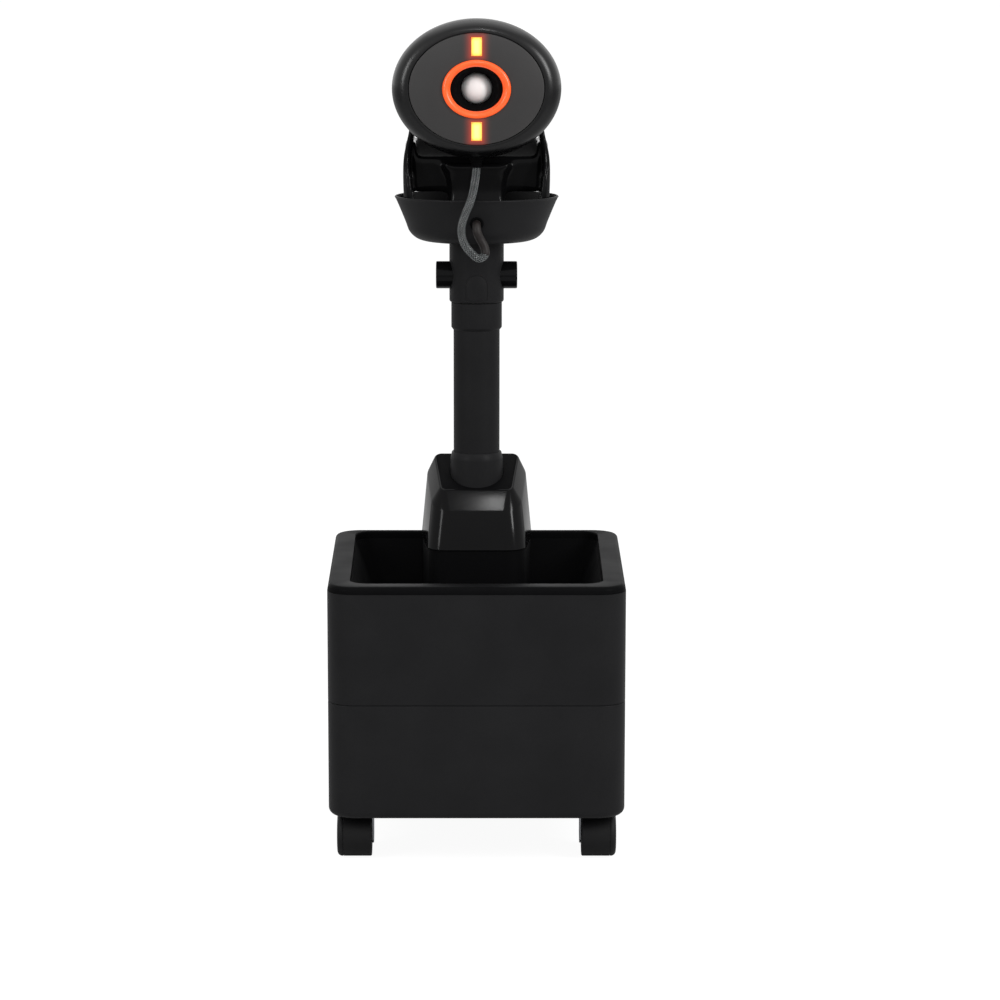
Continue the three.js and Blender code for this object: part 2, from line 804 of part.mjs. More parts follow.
// The rocker's section in the YZ plane is round at the back, so that it can tip in its hole
function makeSwitch() {
  const rocker = ringAlongX(0, switchHeight / 2, -switchX - switchWidth / 2, switchWidth / 2 - switchX);
  const shaved = block(-panelY, panelY, wall / 2, panelY, -panelY, panelY);
  return cut(rocker, shaved).translate(0, panelY - wall / 2, panelHeight);
}
piece('power_switch', makeSwitch(), glossBlack);
const socketShape = ringAlongY(socketRadius / 2, socketRadius, panelY - socketDepth, panelY);
piece('charge_socket', socketShape.translate(switchX, 0, panelHeight), deepBlack);

// Wheels: profile from the sharp inner edge to the rounded outer edge, along the axle
function makeWheel(radius, width, bore, edge) {
  const rounding = [];
  for (let step = 0; step <= edgeRoundSteps; step += 1) {
    const angle = Math.PI / 2 * step / edgeRoundSteps;
    rounding.push([radius - edge * (1 - Math.cos(angle)), width - edge * (1 - Math.sin(angle))]);
  }
  return ringProfileAlongX([[bore, 0], [radius, 0], ...rounding, [bore, width], [bore, 0]]);
}

function ringProfileAlongX(profile) {
  return lathe(profile, roundSides).rotateY(Math.PI / 2);
}

const bracketX = wheelOuterX - wheelWidth - runningGap - bracketThickness;

function makeBracket() {
  const legTop = bodyBottom - seatGap;
  const half = bracketWidth / 2;
  const legOuterX = bracketX + bracketThickness;
  const leg = block(bracketX, legOuterX, -half, half, wheelRadius, legTop);
  const plate = block(bracketX - bracketWidth, legOuterX, -half, half, legTop - bracketThickness, legTop);
  const foot = ringAlongX(0, half, bracketX, legOuterX);
  const axle = ringAlongX(0, axleRadius, bracketX, wheelOuterX - wheelEdgeRadius);
  return join(leg, plate, join(foot, axle).translate(0, 0, wheelRadius));
}

const wheelBore = axleRadius + seatGap;
for (const [side, sign] of [['left', -1], ['right', 1]]) {
  const turned = (geometry) => (sign < 0 ? geometry.rotateZ(Math.PI) : geometry);
  const wheelShape = makeWheel(wheelRadius, wheelWidth, wheelBore, wheelEdgeRadius)
    .translate(wheelOuterX - wheelWidth, 0, wheelRadius);
  piece(`front_wheel_${side}`, turned(wheelShape), rubberBlack).position.y = -wheelY;
  piece(`front_bracket_${side}`, turned(makeBracket()), steel).position.y = -wheelY;
}

// Rear casters: plate under the tub, fork that swivels, wheel that trails behind the swivel
const forkTop = bodyBottom - seatGap - forkThickness - seatGap;

function makeCasterPlate() {
  const top = bodyBottom - seatGap;
  const plate = block(-swivelRadius, swivelRadius, -swivelRadius, swivelRadius, top - forkThickness, top);
  return join(plate, ring(0, axleRadius, forkTop - forkThickness - seatGap, top - wall / 2, smallSides));
}

function makeFork() {
  const half = casterWidth / 2 + runningGap;
  const crown = join(
    ring(0, swivelRadius, forkTop - forkThickness, forkTop, roundSides),
    block(
      -half - forkThickness, half + forkThickness, 0, casterTrail + axleRadius,
      forkTop - forkThickness, forkTop,
    ),
  );
  const arms = [-half - forkThickness, half].map((armX) => block(
    armX, armX + forkThickness, casterTrail - axleRadius * 2, casterTrail + axleRadius * 2,
    casterRadius - axleRadius, forkTop - forkThickness / 2,
  ));
  const axle = ringAlongX(0, axleRadius, -half - forkThickness, half + forkThickness)
    .translate(0, casterTrail, casterRadius);
  const swivelHole = ring(0, axleRadius + seatGap, forkTop - overrun, forkTop + overrun, smallSides);
  return cut(join(crown, ...arms, axle), swivelHole);
}

for (const [side, sign] of [['left', -1], ['right', 1]]) {
  const caster = new THREE.Group();
  caster.position.set(sign * casterX, casterY, 0);
  robot.add(caster);
  piece(`caster_plate_${side}`, makeCasterPlate(), steel, caster);
  piece(`caster_fork_${side}`, makeFork(), steel, caster);
  const casterWheel = ringProfileAlongX([
    [axleRadius + seatGap, -casterWidth / 2], [casterRadius - seamBevel, -casterWidth / 2],
    [casterRadius, seamBevel - casterWidth / 2], [casterRadius, casterWidth / 2 - seamBevel],
    [casterRadius - seamBevel, casterWidth / 2], [axleRadius + seatGap, casterWidth / 2],
    [axleRadius + seatGap, -casterWidth / 2],
  ]).translate(0, casterTrail, casterRadius);
  piece(`caster_wheel_${side}`, casterWheel, rubberBlack, caster);
}

// Column
const socketBottom = creaseHeight;
const socketBore = tubeOuterRadius + seatGap;
const socketProfile = [
  [ballTubeOuterRadius + seatGap, socketBottom], [socketFlangeRadius, socketBottom],
  [socketFlangeRadius, socketBottom + socketFlangeThickness],
  [socketOuterRadius, socketBottom + socketFlangeThickness],
  [socketOuterRadius, socketTaperHeight], [socketTaperRadius, socketTop], [socketBore, socketTop],
  [socketBore, socketBottom + wall], [ballTubeOuterRadius + seatGap, socketBottom + wall],
  [ballTubeOuterRadius + seatGap, socketBottom],
];
piece('bottom_collar', lathe(socketProfile, fineSides), satinBlack, column);

const throughX = (radius, reach) => (
  ringAlongX(0, radius, -reach, reach, roundSides).translate(0, 0, buttonHeight)
);

function makeMainTube() {
  const tube = ring(tubeInnerRadius, tubeOuterRadius, socketBottom + wall + seatGap, tubeTop, fineSides);
  return cut(tube, throughX(buttonRadius + runningGap, collarRadius));
}
piece('main_tube', makeMainTube(), satinBlack, column);

const sleeveProfile = [
  [socketBore, sleeveBottom], [socketBore + seatGap, sleeveBottom],
  [sleeveRadius, sleeveBottom + sleeveChamfer], [sleeveRadius, sleeveTop], [socketBore, sleeveTop],
  [socketBore, sleeveBottom],
];
piece('column_sleeve', lathe(sleeveProfile, fineSides), satinBlack, column);

// Arch outline in the XZ plane, extruded along Y through the collar's front wall
function arch(margin, frontY, backY) {
  const half = keyHalfWidth + margin;
  const shape = new THREE.Shape();
  shape.moveTo(-half, keyBottom - margin);
  shape.lineTo(half, keyBottom - margin);
  shape.lineTo(half, keyTop - keyHalfWidth);
  shape.absarc(0, keyTop - keyHalfWidth, half, 0, Math.PI, false);
  shape.closePath();
  const solid = new THREE.ExtrudeGeometry(shape, {
    depth: backY - frontY, bevelEnabled: false, curveSegments: smallSides,
  });
  return solid.rotateX(Math.PI / 2).translate(0, backY, 0);
}

function makeCollar() {
  const body = lathe([
    [socketBore, collarBottom], [collarRadius - collarChamfer, collarBottom],
    [collarRadius, collarBottom + collarChamfer], [collarRadius, collarTop], [spindleInnerRadius, collarTop],
    [spindleInnerRadius, collarTop - collarRoof], [socketBore, collarTop - collarRoof],
    [socketBore, collarBottom],
  ], fineSides);
  const keyWindow = arch(seatGap, -collarRadius - overrun, -socketBore / 2);
  return cut(body, throughX(buttonRadius + seatGap, collarRadius + overrun), keyWindow);
}
piece('upper_collar', makeCollar(), satinBlack, column);

const keyRing = ring(keyInnerRadius, collarRadius, keyBottom - overrun, keyTop + overrun, fineSides);
const keyShape = common(keyRing, arch(0, -collarRadius - overrun, -keyInnerRadius / 2));
piece('front_key', keyShape, satinBlack, column);

for (const [side, sign] of [['left', -1], ['right', 1]]) {
  const button = lathe([
    [0, buttonInnerX], [buttonRadius, buttonInnerX], [buttonRadius, buttonOuterX - buttonChamfer],
    [buttonRadius - buttonChamfer, buttonOuterX], [0, buttonOuterX],
  ]).rotateY(sign * Math.PI / 2);
  piece(`side_button_${side}`, button.translate(0, 0, buttonHeight), glossBlack, column);
}

// Yaw drive: the gear is fixed on the column, the motor and pinion ride in the tray
const yawCentre = centreDistance(yawModule, yawGearTeeth);

function makeYawGear() {
  const spindle = ring(spindleInnerRadius, spindleOuterRadius, collarTop + seatGap, spindleTop);
  const bore = (spindleInnerRadius + spindleOuterRadius) / 2;
  const turn = Math.PI / 2;
  const gear = gearWheel(yawModule, yawGearTeeth, yawGearBottom, smallGearWidth, bore, turn);
  return join(spindle, gear);
}
piece('yaw_gear', makeYawGear(), gearWhite, column);
const yawPinion = join(
  prism(pinionOutline(yawModule, Math.PI / 2), yawGearBottom, yawGearBottom + smallGearWidth),
  ring(0, motorShaftRadius, yawGearBottom, spindleTop - overrun / 2, smallSides),
);
piece('yaw_pinion', yawPinion, steel, column).position.y = yawCentre;
const mountTop = yawGearBottom + smallGearWidth + gearClearance + mountPlateThickness;
const yawMotor = cut(
  ring(0, yawMotorRadius, mountTop + seatGap, mountTop + seatGap + yawMotorLength),
  ring(0, motorShaftRadius + seatGap, mountTop - overrun, mountTop + overrun, smallSides),
);
piece('yaw_motor', yawMotor, steel, column).position.y = yawCentre;

// Tray: an open round bowl; its profile runs up the outside and down the inside
function bowlInside(margin) {
  const bottom = trayBottom + trayWall;
  const depth = trayRimHeight - bottom;
  const draw = trayWall + margin * 2;
  return trayShares.map(([r, h]) => [r * trayRimRadius - draw, bottom + h * depth + margin]);
}

function makeTray() {
  const height = trayRimHeight - trayBottom;
  const outside = trayShares.map(([r, h]) => [r * trayRimRadius, trayBottom + h * height]);
  const bowl = lathe([
    [traySpindleHole, trayBottom], ...outside, [trayRimRadius, trayRimHeight - seamBevel],
    [trayRimRadius - seamBevel, trayRimHeight], [trayRimRadius - trayWall, trayRimHeight],
    ...bowlInside(0).reverse(), [traySpindleHole, trayBottom + trayWall], [traySpindleHole, trayBottom],
  ], fineSides);
  const cableHole = ringAlongY(0, cableHoleRadius + seatGap, -trayRimRadius - overrun, -trayRimRadius / 2);
  return cut(bowl, cableHole.translate(0, 0, cableHoleHeight));
}
piece('tray', makeTray(), satinBlack, column);

// The grommet starts where the cable's last point leaves it room
const cableEnd = cableRoute[cableRoute.length - 1];
const grommetFront = cableEnd[1] + seatGap - columnY;
const grommet = ringAlongY(grommetBore, cableHoleRadius, grommetFront, grommetFront + grommetLength);
piece('tray_grommet', grommet.translate(0, 0, cableHoleHeight), deepBlack, column);

// Cradle: floor disc, pedestal, saddle and two ears, hollowed by the sweep of the head
const cradleFloor = trayBottom + trayWall + seatGap;

function earOutline([rise, inner, outer, front, back], side) {
  const [x0, x1] = [inner * earOuterX, outer * earOuterX];
  const [y0, y1] = [-front * earDepth, back * earDepth];
  const corners = [[x0, y0], [x1, y0], [x1, y1], [x0, y1]].map(([x, y]) => [side * x, y]);
  const outline = roundedOutline(side > 0 ? corners : corners.reverse(), earCorner);
  return level(outline, earBottom + rise * (earTop - earBottom));
}

const makeEar = (side) => loft(earShares.map((row) => earOutline(row, side)));

function pedestalSection(half, front, height) {
  return level(trapezoid(half, half, -front, pedestalBack, pedestalCorner), height);
}

function makePedestal() {
  return loft([
    pedestalSection(pedestalFootHalf, pedestalFootFront, cradleFloor),
    pedestalSection(pedestalWaistHalf, pedestalFront, waistBottom),
    pedestalSection(pedestalWaistHalf, pedestalFront, waistTop),
    pedestalSection(pedestalTopHalf, pedestalFront, saddleTop),
  ]);
}

function makeCradle() {
  const floor = ring(0, cradleFloorRadius, cradleFloor, cradleFloor + cradleFloorThickness, fineSides);
  const saddleOutline = trapezoid(saddleHalf, saddleHalf, -saddleFront, saddleBack, saddleCorner);
  const saddle = loft([level(saddleOutline, saddleBottom), level(saddleOutline, saddleTop)]);
  const mountPlate = block(
    -mountPlateWidth / 2, mountPlateWidth / 2,
    pedestalBack - pedestalCorner, yawCentre + mountPlateWidth / 2,
    mountTop - mountPlateThickness, mountTop,
  );
  const sweep = ringAlongX(0, sweepRadius, -earInnerX, earInnerX, fineSides);
  const frontSweep = common(
    ringAlongX(0, frontSweepRadius, -earInnerX, earInnerX, fineSides),
    block(-earInnerX, earInnerX, -frontSweepRadius, -saddleFront, -frontSweepRadius, frontSweepRadius),
  );
  const headRoom = join(sweep, frontSweep).translate(0, 0, pivotHeight);
  const hollowed = cut(join(floor, makePedestal(), saddle, mountPlate), headRoom);
  const neck = ring(0, neckRadius, saddleBottom, neckTop);
  const whole = join(hollowed, neck, makeEar(1), makeEar(-1));
  const bowlRoom = lathe([
    [0, cradleFloor], ...bowlInside(seatGap), [trayRimRadius - trayWall - seatGap * 2, trayRimHeight],
    [trayRimRadius - trayWall - seatGap * 2, earTop + overrun], [0, earTop + overrun],
  ], fineSides);
  const floorTop = cradleFloor + cradleFloorThickness;
  const gearTop = yawGearBottom + smallGearWidth + runningGap;
  const gearRoom = yawGearTeeth * yawModule / 2 + yawModule + runningGap;
  const pinionRoom = pinionTeeth * yawModule / 2 + yawModule + runningGap;
  const rooms = [
    ring(0, gearRoom, cradleFloor - overrun, gearTop),
    ring(0, spindleOuterRadius + runningGap, gearTop - overrun, spindleTop + runningGap),
    ring(0, ballBore, spindleTop, neckTop + overrun),
    ...[
      ring(0, pinionRoom, floorTop, gearTop),
      ring(0, motorShaftRadius + seatGap, floorTop, mountTop + overrun, smallSides),
      ring(0, yawMotorRadius + seatGap, mountTop, mountTop + yawMotorLength + runningGap),
    ].map((room) => room.translate(0, yawCentre, 0)),
    ringAlongX(0, pinRadius + seatGap, -earOuterX, earOuterX).translate(0, 0, pivotHeight),
  ];
  return cut(common(whole, bowlRoom), ...rooms);
}
piece('cradle', makeCradle(), glossBlack, column);

// Pitch axis: pins fixed in the ears; the left one carries the gear that the head's pinion walks on
const pitchCentre = centreDistance(pitchModule, pitchGearTeeth);
const capX = earOuterX * earShares[4][2] + seatGap;
const bossEndX = earInnerX - seatGap;

// Turns a shape made about Z so that its axis lies along X and its +X side faces +Y
function alongX(geometry) {
  return geometry.rotateZ(Math.PI / 2).rotateY(Math.PI / 2);
}

function makePin() {
  const pin = ringAlongX(0, pinRadius, pinInnerX, capX + pinCapThickness / 2);
  return join(pin, ringAlongX(0, pinCapRadius, capX, capX + pinCapThickness));
}

function makeGearedPin() {
  const gear = prism(gearOutline(pitchGearTeeth, pitchModule, 0), pinInnerX, pinInnerX + smallGearWidth);
  return join(makePin(), alongX(gear)).rotateZ(Math.PI);
}
piece('pitch_pin_left', makeGearedPin(), steel, head);
piece('pitch_pin_right', makePin(), steel, head);
const pitchPinion = alongX(prism(pinionOutline(pitchModule, 0), -pinInnerX - smallGearWidth, -pinInnerX));
piece('pitch_pinion', pitchPinion, steel, head).position.y = pitchCentre;
const pitchMotorX = seatGap - pinInnerX;
const pitchMotor = ringAlongX(0, pitchMotorRadius, pitchMotorX, pitchMotorX + pitchMotorLength);
piece('pitch_motor', pitchMotor, steel, head).position.y = pitchCentre;

// Head shells
function makeFrontShell() {
  const profile = frontShellShares.map(([r, y]) => [r * headRadius, y * headFrontY]);
  return latheForward([...profile, profile[0]], headStretch);
}
piece('head_front_shell', makeFrontShell(), glossBlack, head);

// The rear shell's dome, drawn in by a margin; it starts at the flange and ends on the axis
function makeDome(margin, frontY) {
  const profile = rearShellShares.map(([r, depth]) => [
    r ? r * rearRadius - margin : 0, headBackY - seatGap - depth * (headBackY + rearLength - margin),
  ]);
  return latheForward([[0, frontY], [profile[0][0], frontY], ...profile], rearStretch);
}

function makeRearShell() {
  const flangeFront = headBackY - seatGap;
  const flange = latheForward([
    [0, flangeFront - wall], [flangeRadius, flangeFront - wall],
    [flangeRadius, flangeFront], [0, flangeFront],
  ], headStretch);
  const skin = makeDome(0, flangeFront + seatGap / 2);
  const cavity = makeDome(wall, flangeFront + overrun);
  const bosses = [bossEndX, bossDepth - bossEndX].map((endX) => (
    ringAlongX(0, bossRadius, endX - bossDepth, endX)
  ));
  const outer = cut(join(skin, flange, ...bosses), block(
    -trayRimRadius, trayRimRadius, -headFrontY, -flangeFront, -headRadius, headRadius,
  ));
  const ribs = [1, 2].map((place) => {
    const ribX = pitchMotorX + pitchMotorLength * place / 3;
    const [frontY, backY] = [pitchCentre - pitchMotorRadius, pitchCentre + pitchMotorRadius];
    return block(ribX - wall / 2, ribX + wall / 2, frontY, backY, -rearRadius, 0);
  });
  const motorRoom = ringAlongX(0, pitchMotorRadius + seatGap, -rearRadius, 0).translate(0, pitchCentre, 0);
  const bossRoom = ringAlongX(0, rearRadius, -bossEndX, bossEndX);
  const shell = join(cut(outer, cavity), ...bosses.map((boss) => common(boss, bossRoom)));
  const motorRibs = ribs.map((rib) => cut(common(rib, makeDome(wall / 2, 0)), motorRoom));
  const elbowHole = ring(0, elbowOuterRadius + seatGap, -rearRadius - overrun, -rearRadius / 2);
  const pinHole = ringAlongX(0, pinRadius + seatGap, -headRadius, headRadius);
  return cut(join(shell, ...motorRibs), elbowHole, pinHole);
}
piece('head_rear_shell', makeRearShell(), glossBlack, head);

// Face plate with the ring's hole and two slots, ring and light bars
const faceRadius = headRadius * frontShellShares[0][0] - seatGap;
const faceBack = facePlateFront - facePlateThickness;

function ledBlock(side, margin, frontY, backY) {
  const [half, middle] = [ledWidth / 2 + margin, side * ledOffset];
  const reach = ledLength / 2 + margin;
  return block(-half, half, -frontY, -backY, middle - reach, middle + reach);
}

function makeFacePlate() {
  const disc = latheForward([
    [0, faceBack], [faceRadius, faceBack], [faceRadius, facePlateFront], [0, facePlateFront],
  ], headStretch);
  const ringHole = latheForward([
    [0, faceBack - overrun], [ringOuterRadius + seatGap, faceBack - overrun],
    [ringOuterRadius + seatGap, facePlateFront + overrun], [0, facePlateFront + overrun],
  ], ringStretch);
  const slots = [1, -1].map((side) => (
    ledBlock(side, seatGap, facePlateFront + overrun, faceBack - overrun)
  ));
  return cut(disc, ringHole, ...slots);
}
piece('face_plate', makeFacePlate(), faceGrey, head);
const ringSection = [
  [ringInnerRadius, faceBack], [ringOuterRadius, faceBack], [ringOuterRadius, ringShoulderY],
  [ringCrestRadius, ringCrestY], [ringInnerRadius, faceBack + seamBevel], [ringInnerRadius, faceBack],
];
piece('muzzle_ring', latheForward(ringSection, ringStretch), orangeRing, head);
for (const [place, side] of [['upper', 1], ['lower', -1]]) {
  const bar = ledBlock(side, 0, facePlateFront + seatGap, faceBack + seatGap);
  piece(`led_bar_${place}`, bar, lightBar, head);
}

// Muzzle tube: flange behind the face plate, cone, and the throat that holds the ready ball
const muzzleFront = faceBack - seatGap;
const muzzleMouth = ringInnerRadius;

function makeMuzzle() {
  return latheForward([
    [muzzleMouth, muzzleFront], [muzzleFlangeRadius, muzzleFront], [muzzleFlangeRadius, muzzleFront - wall],
    [muzzleMouth + wall, muzzleFront - wall], [muzzleOuter, muzzleConeY], [muzzleOuter, muzzleBackY],
    [muzzleBore, muzzleBackY], [muzzleBore, muzzleConeY], [muzzleMouth, muzzleFront],
  ]);
}
piece('muzzle_tube', makeMuzzle(), deepBlack, head);

// Throw frame: one side plate that carries both throw wheels and their motors
const throwWheelZ = throwGap / 2 + throwWheelRadius;
const frameEndX = framePlateX + framePlateThickness;

function makeThrowFrame() {
  const frontY = muzzleFront - wall - seatGap;
  const plate = block(framePlateX, frameEndX, -frontY, -frameBackY, -frameHalfHeight, frameHalfHeight);
  const coneRadius = muzzleMouth + wall + seatGap;
  const coneRoom = ringAlongY(0, coneRadius, -frontY - overrun, -muzzleConeY + seatGap, roundSides);
  const shaftHoles = [1, -1].map((side) => (
    ringAlongX(0, throwShaftRadius + seatGap, framePlateX - overrun, frameEndX + overrun)
      .translate(0, -throwWheelY, side * throwWheelZ)
  ));
  return cut(plate, coneRoom, ...shaftHoles);
}
piece('throw_frame', makeThrowFrame(), steel, head);

for (const [place, side] of [['upper', 1], ['lower', -1]]) {
  const half = throwWheelWidth / 2;
  const wheel = join(
    ringAlongX(0, throwWheelRadius, -half, half, roundSides),
    ringAlongX(0, throwShaftRadius, -half - runningGap, frameEndX - seatGap),
  );
  piece(`throw_wheel_${place}`, wheel, throwRubber, head).position.set(0, -throwWheelY, side * throwWheelZ);
  const motorX = frameEndX + seatGap;
  const motor = ringAlongX(0, throwMotorRadius, motorX, motorX + throwMotorLength);
  piece(`throw_motor_${place}`, motor, steel, head).position.set(0, -throwWheelY, side * throwWheelZ);
}

// Feed elbow: up through the rear shell's bottom, then forward to the throw wheels
function elbowPath(extra) {
  const bendShare = 0.5523;
  const handle = elbowBend * bendShare;
  const [start, turn] = [new THREE.Vector3(0, 0, -elbowFoot - extra), new THREE.Vector3(0, 0, -elbowBend)];
  const [exit, end] = [new THREE.Vector3(0, -elbowBend, 0), new THREE.Vector3(0, -elbowBend - extra, 0)];
  const path = new THREE.CurvePath();
  path.add(new THREE.LineCurve3(start, turn));
  path.add(new THREE.CubicBezierCurve3(
    turn, turn.clone().setZ(handle - elbowBend), exit.clone().setY(handle - elbowBend), exit,
  ));
  if (extra) path.add(new THREE.LineCurve3(exit, end));
  return path;
}

function tubeAlong(path, radius, sides, steps) {
  const section = new THREE.Shape();
  for (let side = 0; side < sides; side += 1) {
    const point = polar(radius, side * 2 * Math.PI / sides);
    if (side === 0) section.moveTo(point.x, point.y);
    else section.lineTo(point.x, point.y);
  }
  section.closePath();
  return new THREE.ExtrudeGeometry(section, { steps, extrudePath: path, bevelEnabled: false });
}

const elbow = cut(
  tubeAlong(elbowPath(0), elbowOuterRadius, smallSides, elbowSteps),
  tubeAlong(elbowPath(overrun), elbowBore, smallSides, elbowSteps),
);
piece('feed_elbow', elbow, throwRubber, head);

// The ball that is ready to be thrown
const ballShape = new THREE.SphereGeometry(ballRadius, smallSides, ballRows);
piece('ready_ball', ballShape, ballWhite, head).position.y = -readyBallY;

// Gland under the front shell and the free cable that hangs from it
const glandTop = -headRadius - seatGap;
const gland = ring(0, glandRadius, glandTop - glandLength, glandTop, smallSides);
piece('cable_gland', gland, deepBlack, head).position.y = -glandY;
const cablePath = new THREE.CatmullRomCurve3(cableRoute.map((point) => new THREE.Vector3(...point)));
piece('head_cable', tubeAlong(cablePath, cableRadius, cableSides, cableSteps), sleeveGrey);

export default group;
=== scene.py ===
"""A table tennis robot: ball bin on wheels, ball-lift column, and a lit head that turns and nods.

Lengths are in millimetres until a helper turns them to metres. The front faces -Y.
"""
from math import atan2, cos, hypot, pi, radians, sin, sqrt, tan

import bmesh
import bpy
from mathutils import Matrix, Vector


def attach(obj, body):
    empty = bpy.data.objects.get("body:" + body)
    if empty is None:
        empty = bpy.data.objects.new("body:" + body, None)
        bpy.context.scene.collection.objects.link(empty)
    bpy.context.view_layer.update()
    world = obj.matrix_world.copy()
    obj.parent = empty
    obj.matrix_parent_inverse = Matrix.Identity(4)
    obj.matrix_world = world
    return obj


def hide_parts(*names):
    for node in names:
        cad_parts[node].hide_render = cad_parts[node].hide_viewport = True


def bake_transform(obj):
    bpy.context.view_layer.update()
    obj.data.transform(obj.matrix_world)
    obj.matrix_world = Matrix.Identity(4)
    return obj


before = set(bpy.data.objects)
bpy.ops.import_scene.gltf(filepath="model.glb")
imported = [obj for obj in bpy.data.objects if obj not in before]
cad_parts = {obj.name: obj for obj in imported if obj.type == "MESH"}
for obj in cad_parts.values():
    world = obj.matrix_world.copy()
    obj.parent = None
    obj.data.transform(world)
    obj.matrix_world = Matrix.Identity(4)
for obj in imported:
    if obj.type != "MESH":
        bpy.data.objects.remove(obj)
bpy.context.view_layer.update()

MM = 0.001

# Camera, in metres: above the head, looking slightly down, the robot left of the middle
CAMERA_PLACE = (0.0, -4.0096, 1.1)
CAMERA_DIP = 9.52
CAMERA_LENS = 114.12
CAMERA_SHIFT = 0.0234
CAMERA_REACH = 400

# Studio, in metres and watts: floor and world levels; each lamp's place, power and size
FLOOR_SIZE = 300
WHITE = (1, 1, 1, 1)
PAPER_WHITE = 1.25
PAPER_SHARE = 0.75
WORLD_LIGHT = 0.45
LAMP_AIM = (0, 0.1, 0.6)
LAMPS = [
    ("soft_box_right", (2.1, -1.7, 1.9), 38, (0.4, 1.1)),
    ("soft_box_left", (-2.2, -1.9, 1.7), 20, (0.4, 1.2)),
    ("overhead", (0.0, 0.5, 3.0), 14, (2.4, 2.4)),
    ("strip_above", (0.1, -1.68, 2.34), 5, (0.12, 0.3)),
]

# How finely round things are turned
SIDES = 128
SMALL_SIDES = 64
CORNER_STEPS = 14
EDGE_STEPS = 3
POLE = 0.01
WELD = 0.04
FLAT_ANGLE = 1
SHARP_ANGLE = 28
SMOOTH_ANGLE = 34
HALF_FACET = 180 / SIDES

# Clearances and walls, as in the solids
SEAT_GAP = 0.3
WALL = 3
OVERRUN = 8

# Box: its middle stands a little in front of the origin
BOX_Y = -9.6
BODY_FRONT_WIDTH = 367
BODY_REAR_WIDTH = 379
BODY_DEPTH = 410
BODY_CORNER = 34
BODY_BOTTOM = 63
BODY_FILLET = 9
SEAM_HEIGHT = 207
SEAM_BEVEL = 1.2
RIM_HEIGHT = 355
RIM_THICKNESS = 9
RIM_EDGE = 6
RIM_SIDE = 28
RIM_BACK = 16
RIM_INNER_CORNER = 24
RIM_STEP = 0.7
RIM_LIP = 1.6
# Sections in plan: half width in front and behind, front, back, corner radius
BODY = (
    BODY_FRONT_WIDTH / 2, BODY_REAR_WIDTH / 2, BOX_Y - BODY_DEPTH / 2, BOX_Y + BODY_DEPTH / 2,
    BODY_CORNER,
)
BIN_MOUTH = (
    BODY[0] - RIM_SIDE, BODY[1] - RIM_SIDE, BODY[2] + RIM_SIDE, BODY[3] - RIM_BACK,
    RIM_INNER_CORNER,
)
FUNNEL_ROWS = 10
FUNNEL_STEPS = 16
CHAMBER_Y = 25.4
CHAMBER_RADIUS = 106
CHAMBER_FLOOR = 105
CHAMBER_TOP = 164.7
ROTOR_RADIUS = 104
ROTOR_BOTTOM = 118
ROTOR_TOP = 142
POCKET_CIRCLE = 83
POCKET_RADIUS = 22
POCKET_COUNT = 8
SHAFT_BORE = 2.4
PANEL_HEIGHT = 120
PANEL_X = 60
SWITCH_WIDTH = 22
SWITCH_HEIGHT = 13
SOCKET_RADIUS = 8
SOCKET_SINK = 16
TRACK_PITCH = 9

# Wheels
WHEEL_RADIUS = 29
WHEEL_WIDTH = 43
WHEEL_OUTER_X = 174.5
WHEEL_Y = -149.6
WHEEL_EDGE = 6
WHEEL_BORE = 4.3
WHEEL_HUB = 17
CASTER_X = 138
CASTER_Y = 122.4
CASTER_TRAIL = 17
CASTER_RADIUS = 26
CASTER_WIDTH = 20
CASTER_EDGE = 2
CASTER_HUB = 15
MOULDING_LINE = 0.5
HUB_DISH = 0.22
HUB_GAP = 0.05
PLATED_EDGE = 0.5

# Tower and column
COLUMN_Y = 108.4
# The tower's sections in plan, as for the box
TOWER = (63, 76, 38.4, 179, 26)
TOWER_BAND = (57, 68, 54.4, 160.4, 26)
TOWER_PLATE = (47, 56.5, 68.4, 147.4, 9)
TOWER_BAND_DROP = 19
TOWER_EDGE = 1.4
TOWER_EDGE_ANGLE = 8
TOWER_SMOOTH_ANGLE = 12
CREASE_HEIGHT = 354
CREASE_INSET = 2
FOOT_BOTTOM = 165
PLATE_FRONT_HEIGHT = 429
PLATE_BACK_HEIGHT = 466
PLATE_THICKNESS = 3
PLATE_LEDGE = 7
PLATE_INSET = 2
SOCKET_OUTER = 34.5
SOCKET_GAP = 0.8
TUBE_OUTER = 30.1
TUBE_INNER = 27.2
TUBE_BOTTOM = 357.3
TUBE_TOP = 746
BALL_TUBE_OUTER = 25
SLEEVE_RADIUS = 33
SLEEVE_BOTTOM = 636
SLEEVE_TOP = 671.7
COLLAR_RADIUS = 35.4
COLLAR_BOTTOM = 672
COLLAR_TOP = 751.4
BUTTON_RADIUS = 17.8
BUTTON_HEIGHT = 706.8
BUTTON_INNER_X = 30.3
BUTTON_OUTER_X = 52.8
KEY_HALF = 13.8
KEY_TOP = 708.6
KEY_BOTTOM = 676
KEY_INNER = 31.6
ARCH_STEPS = 48
FINE_EDGE_ANGLE = 50

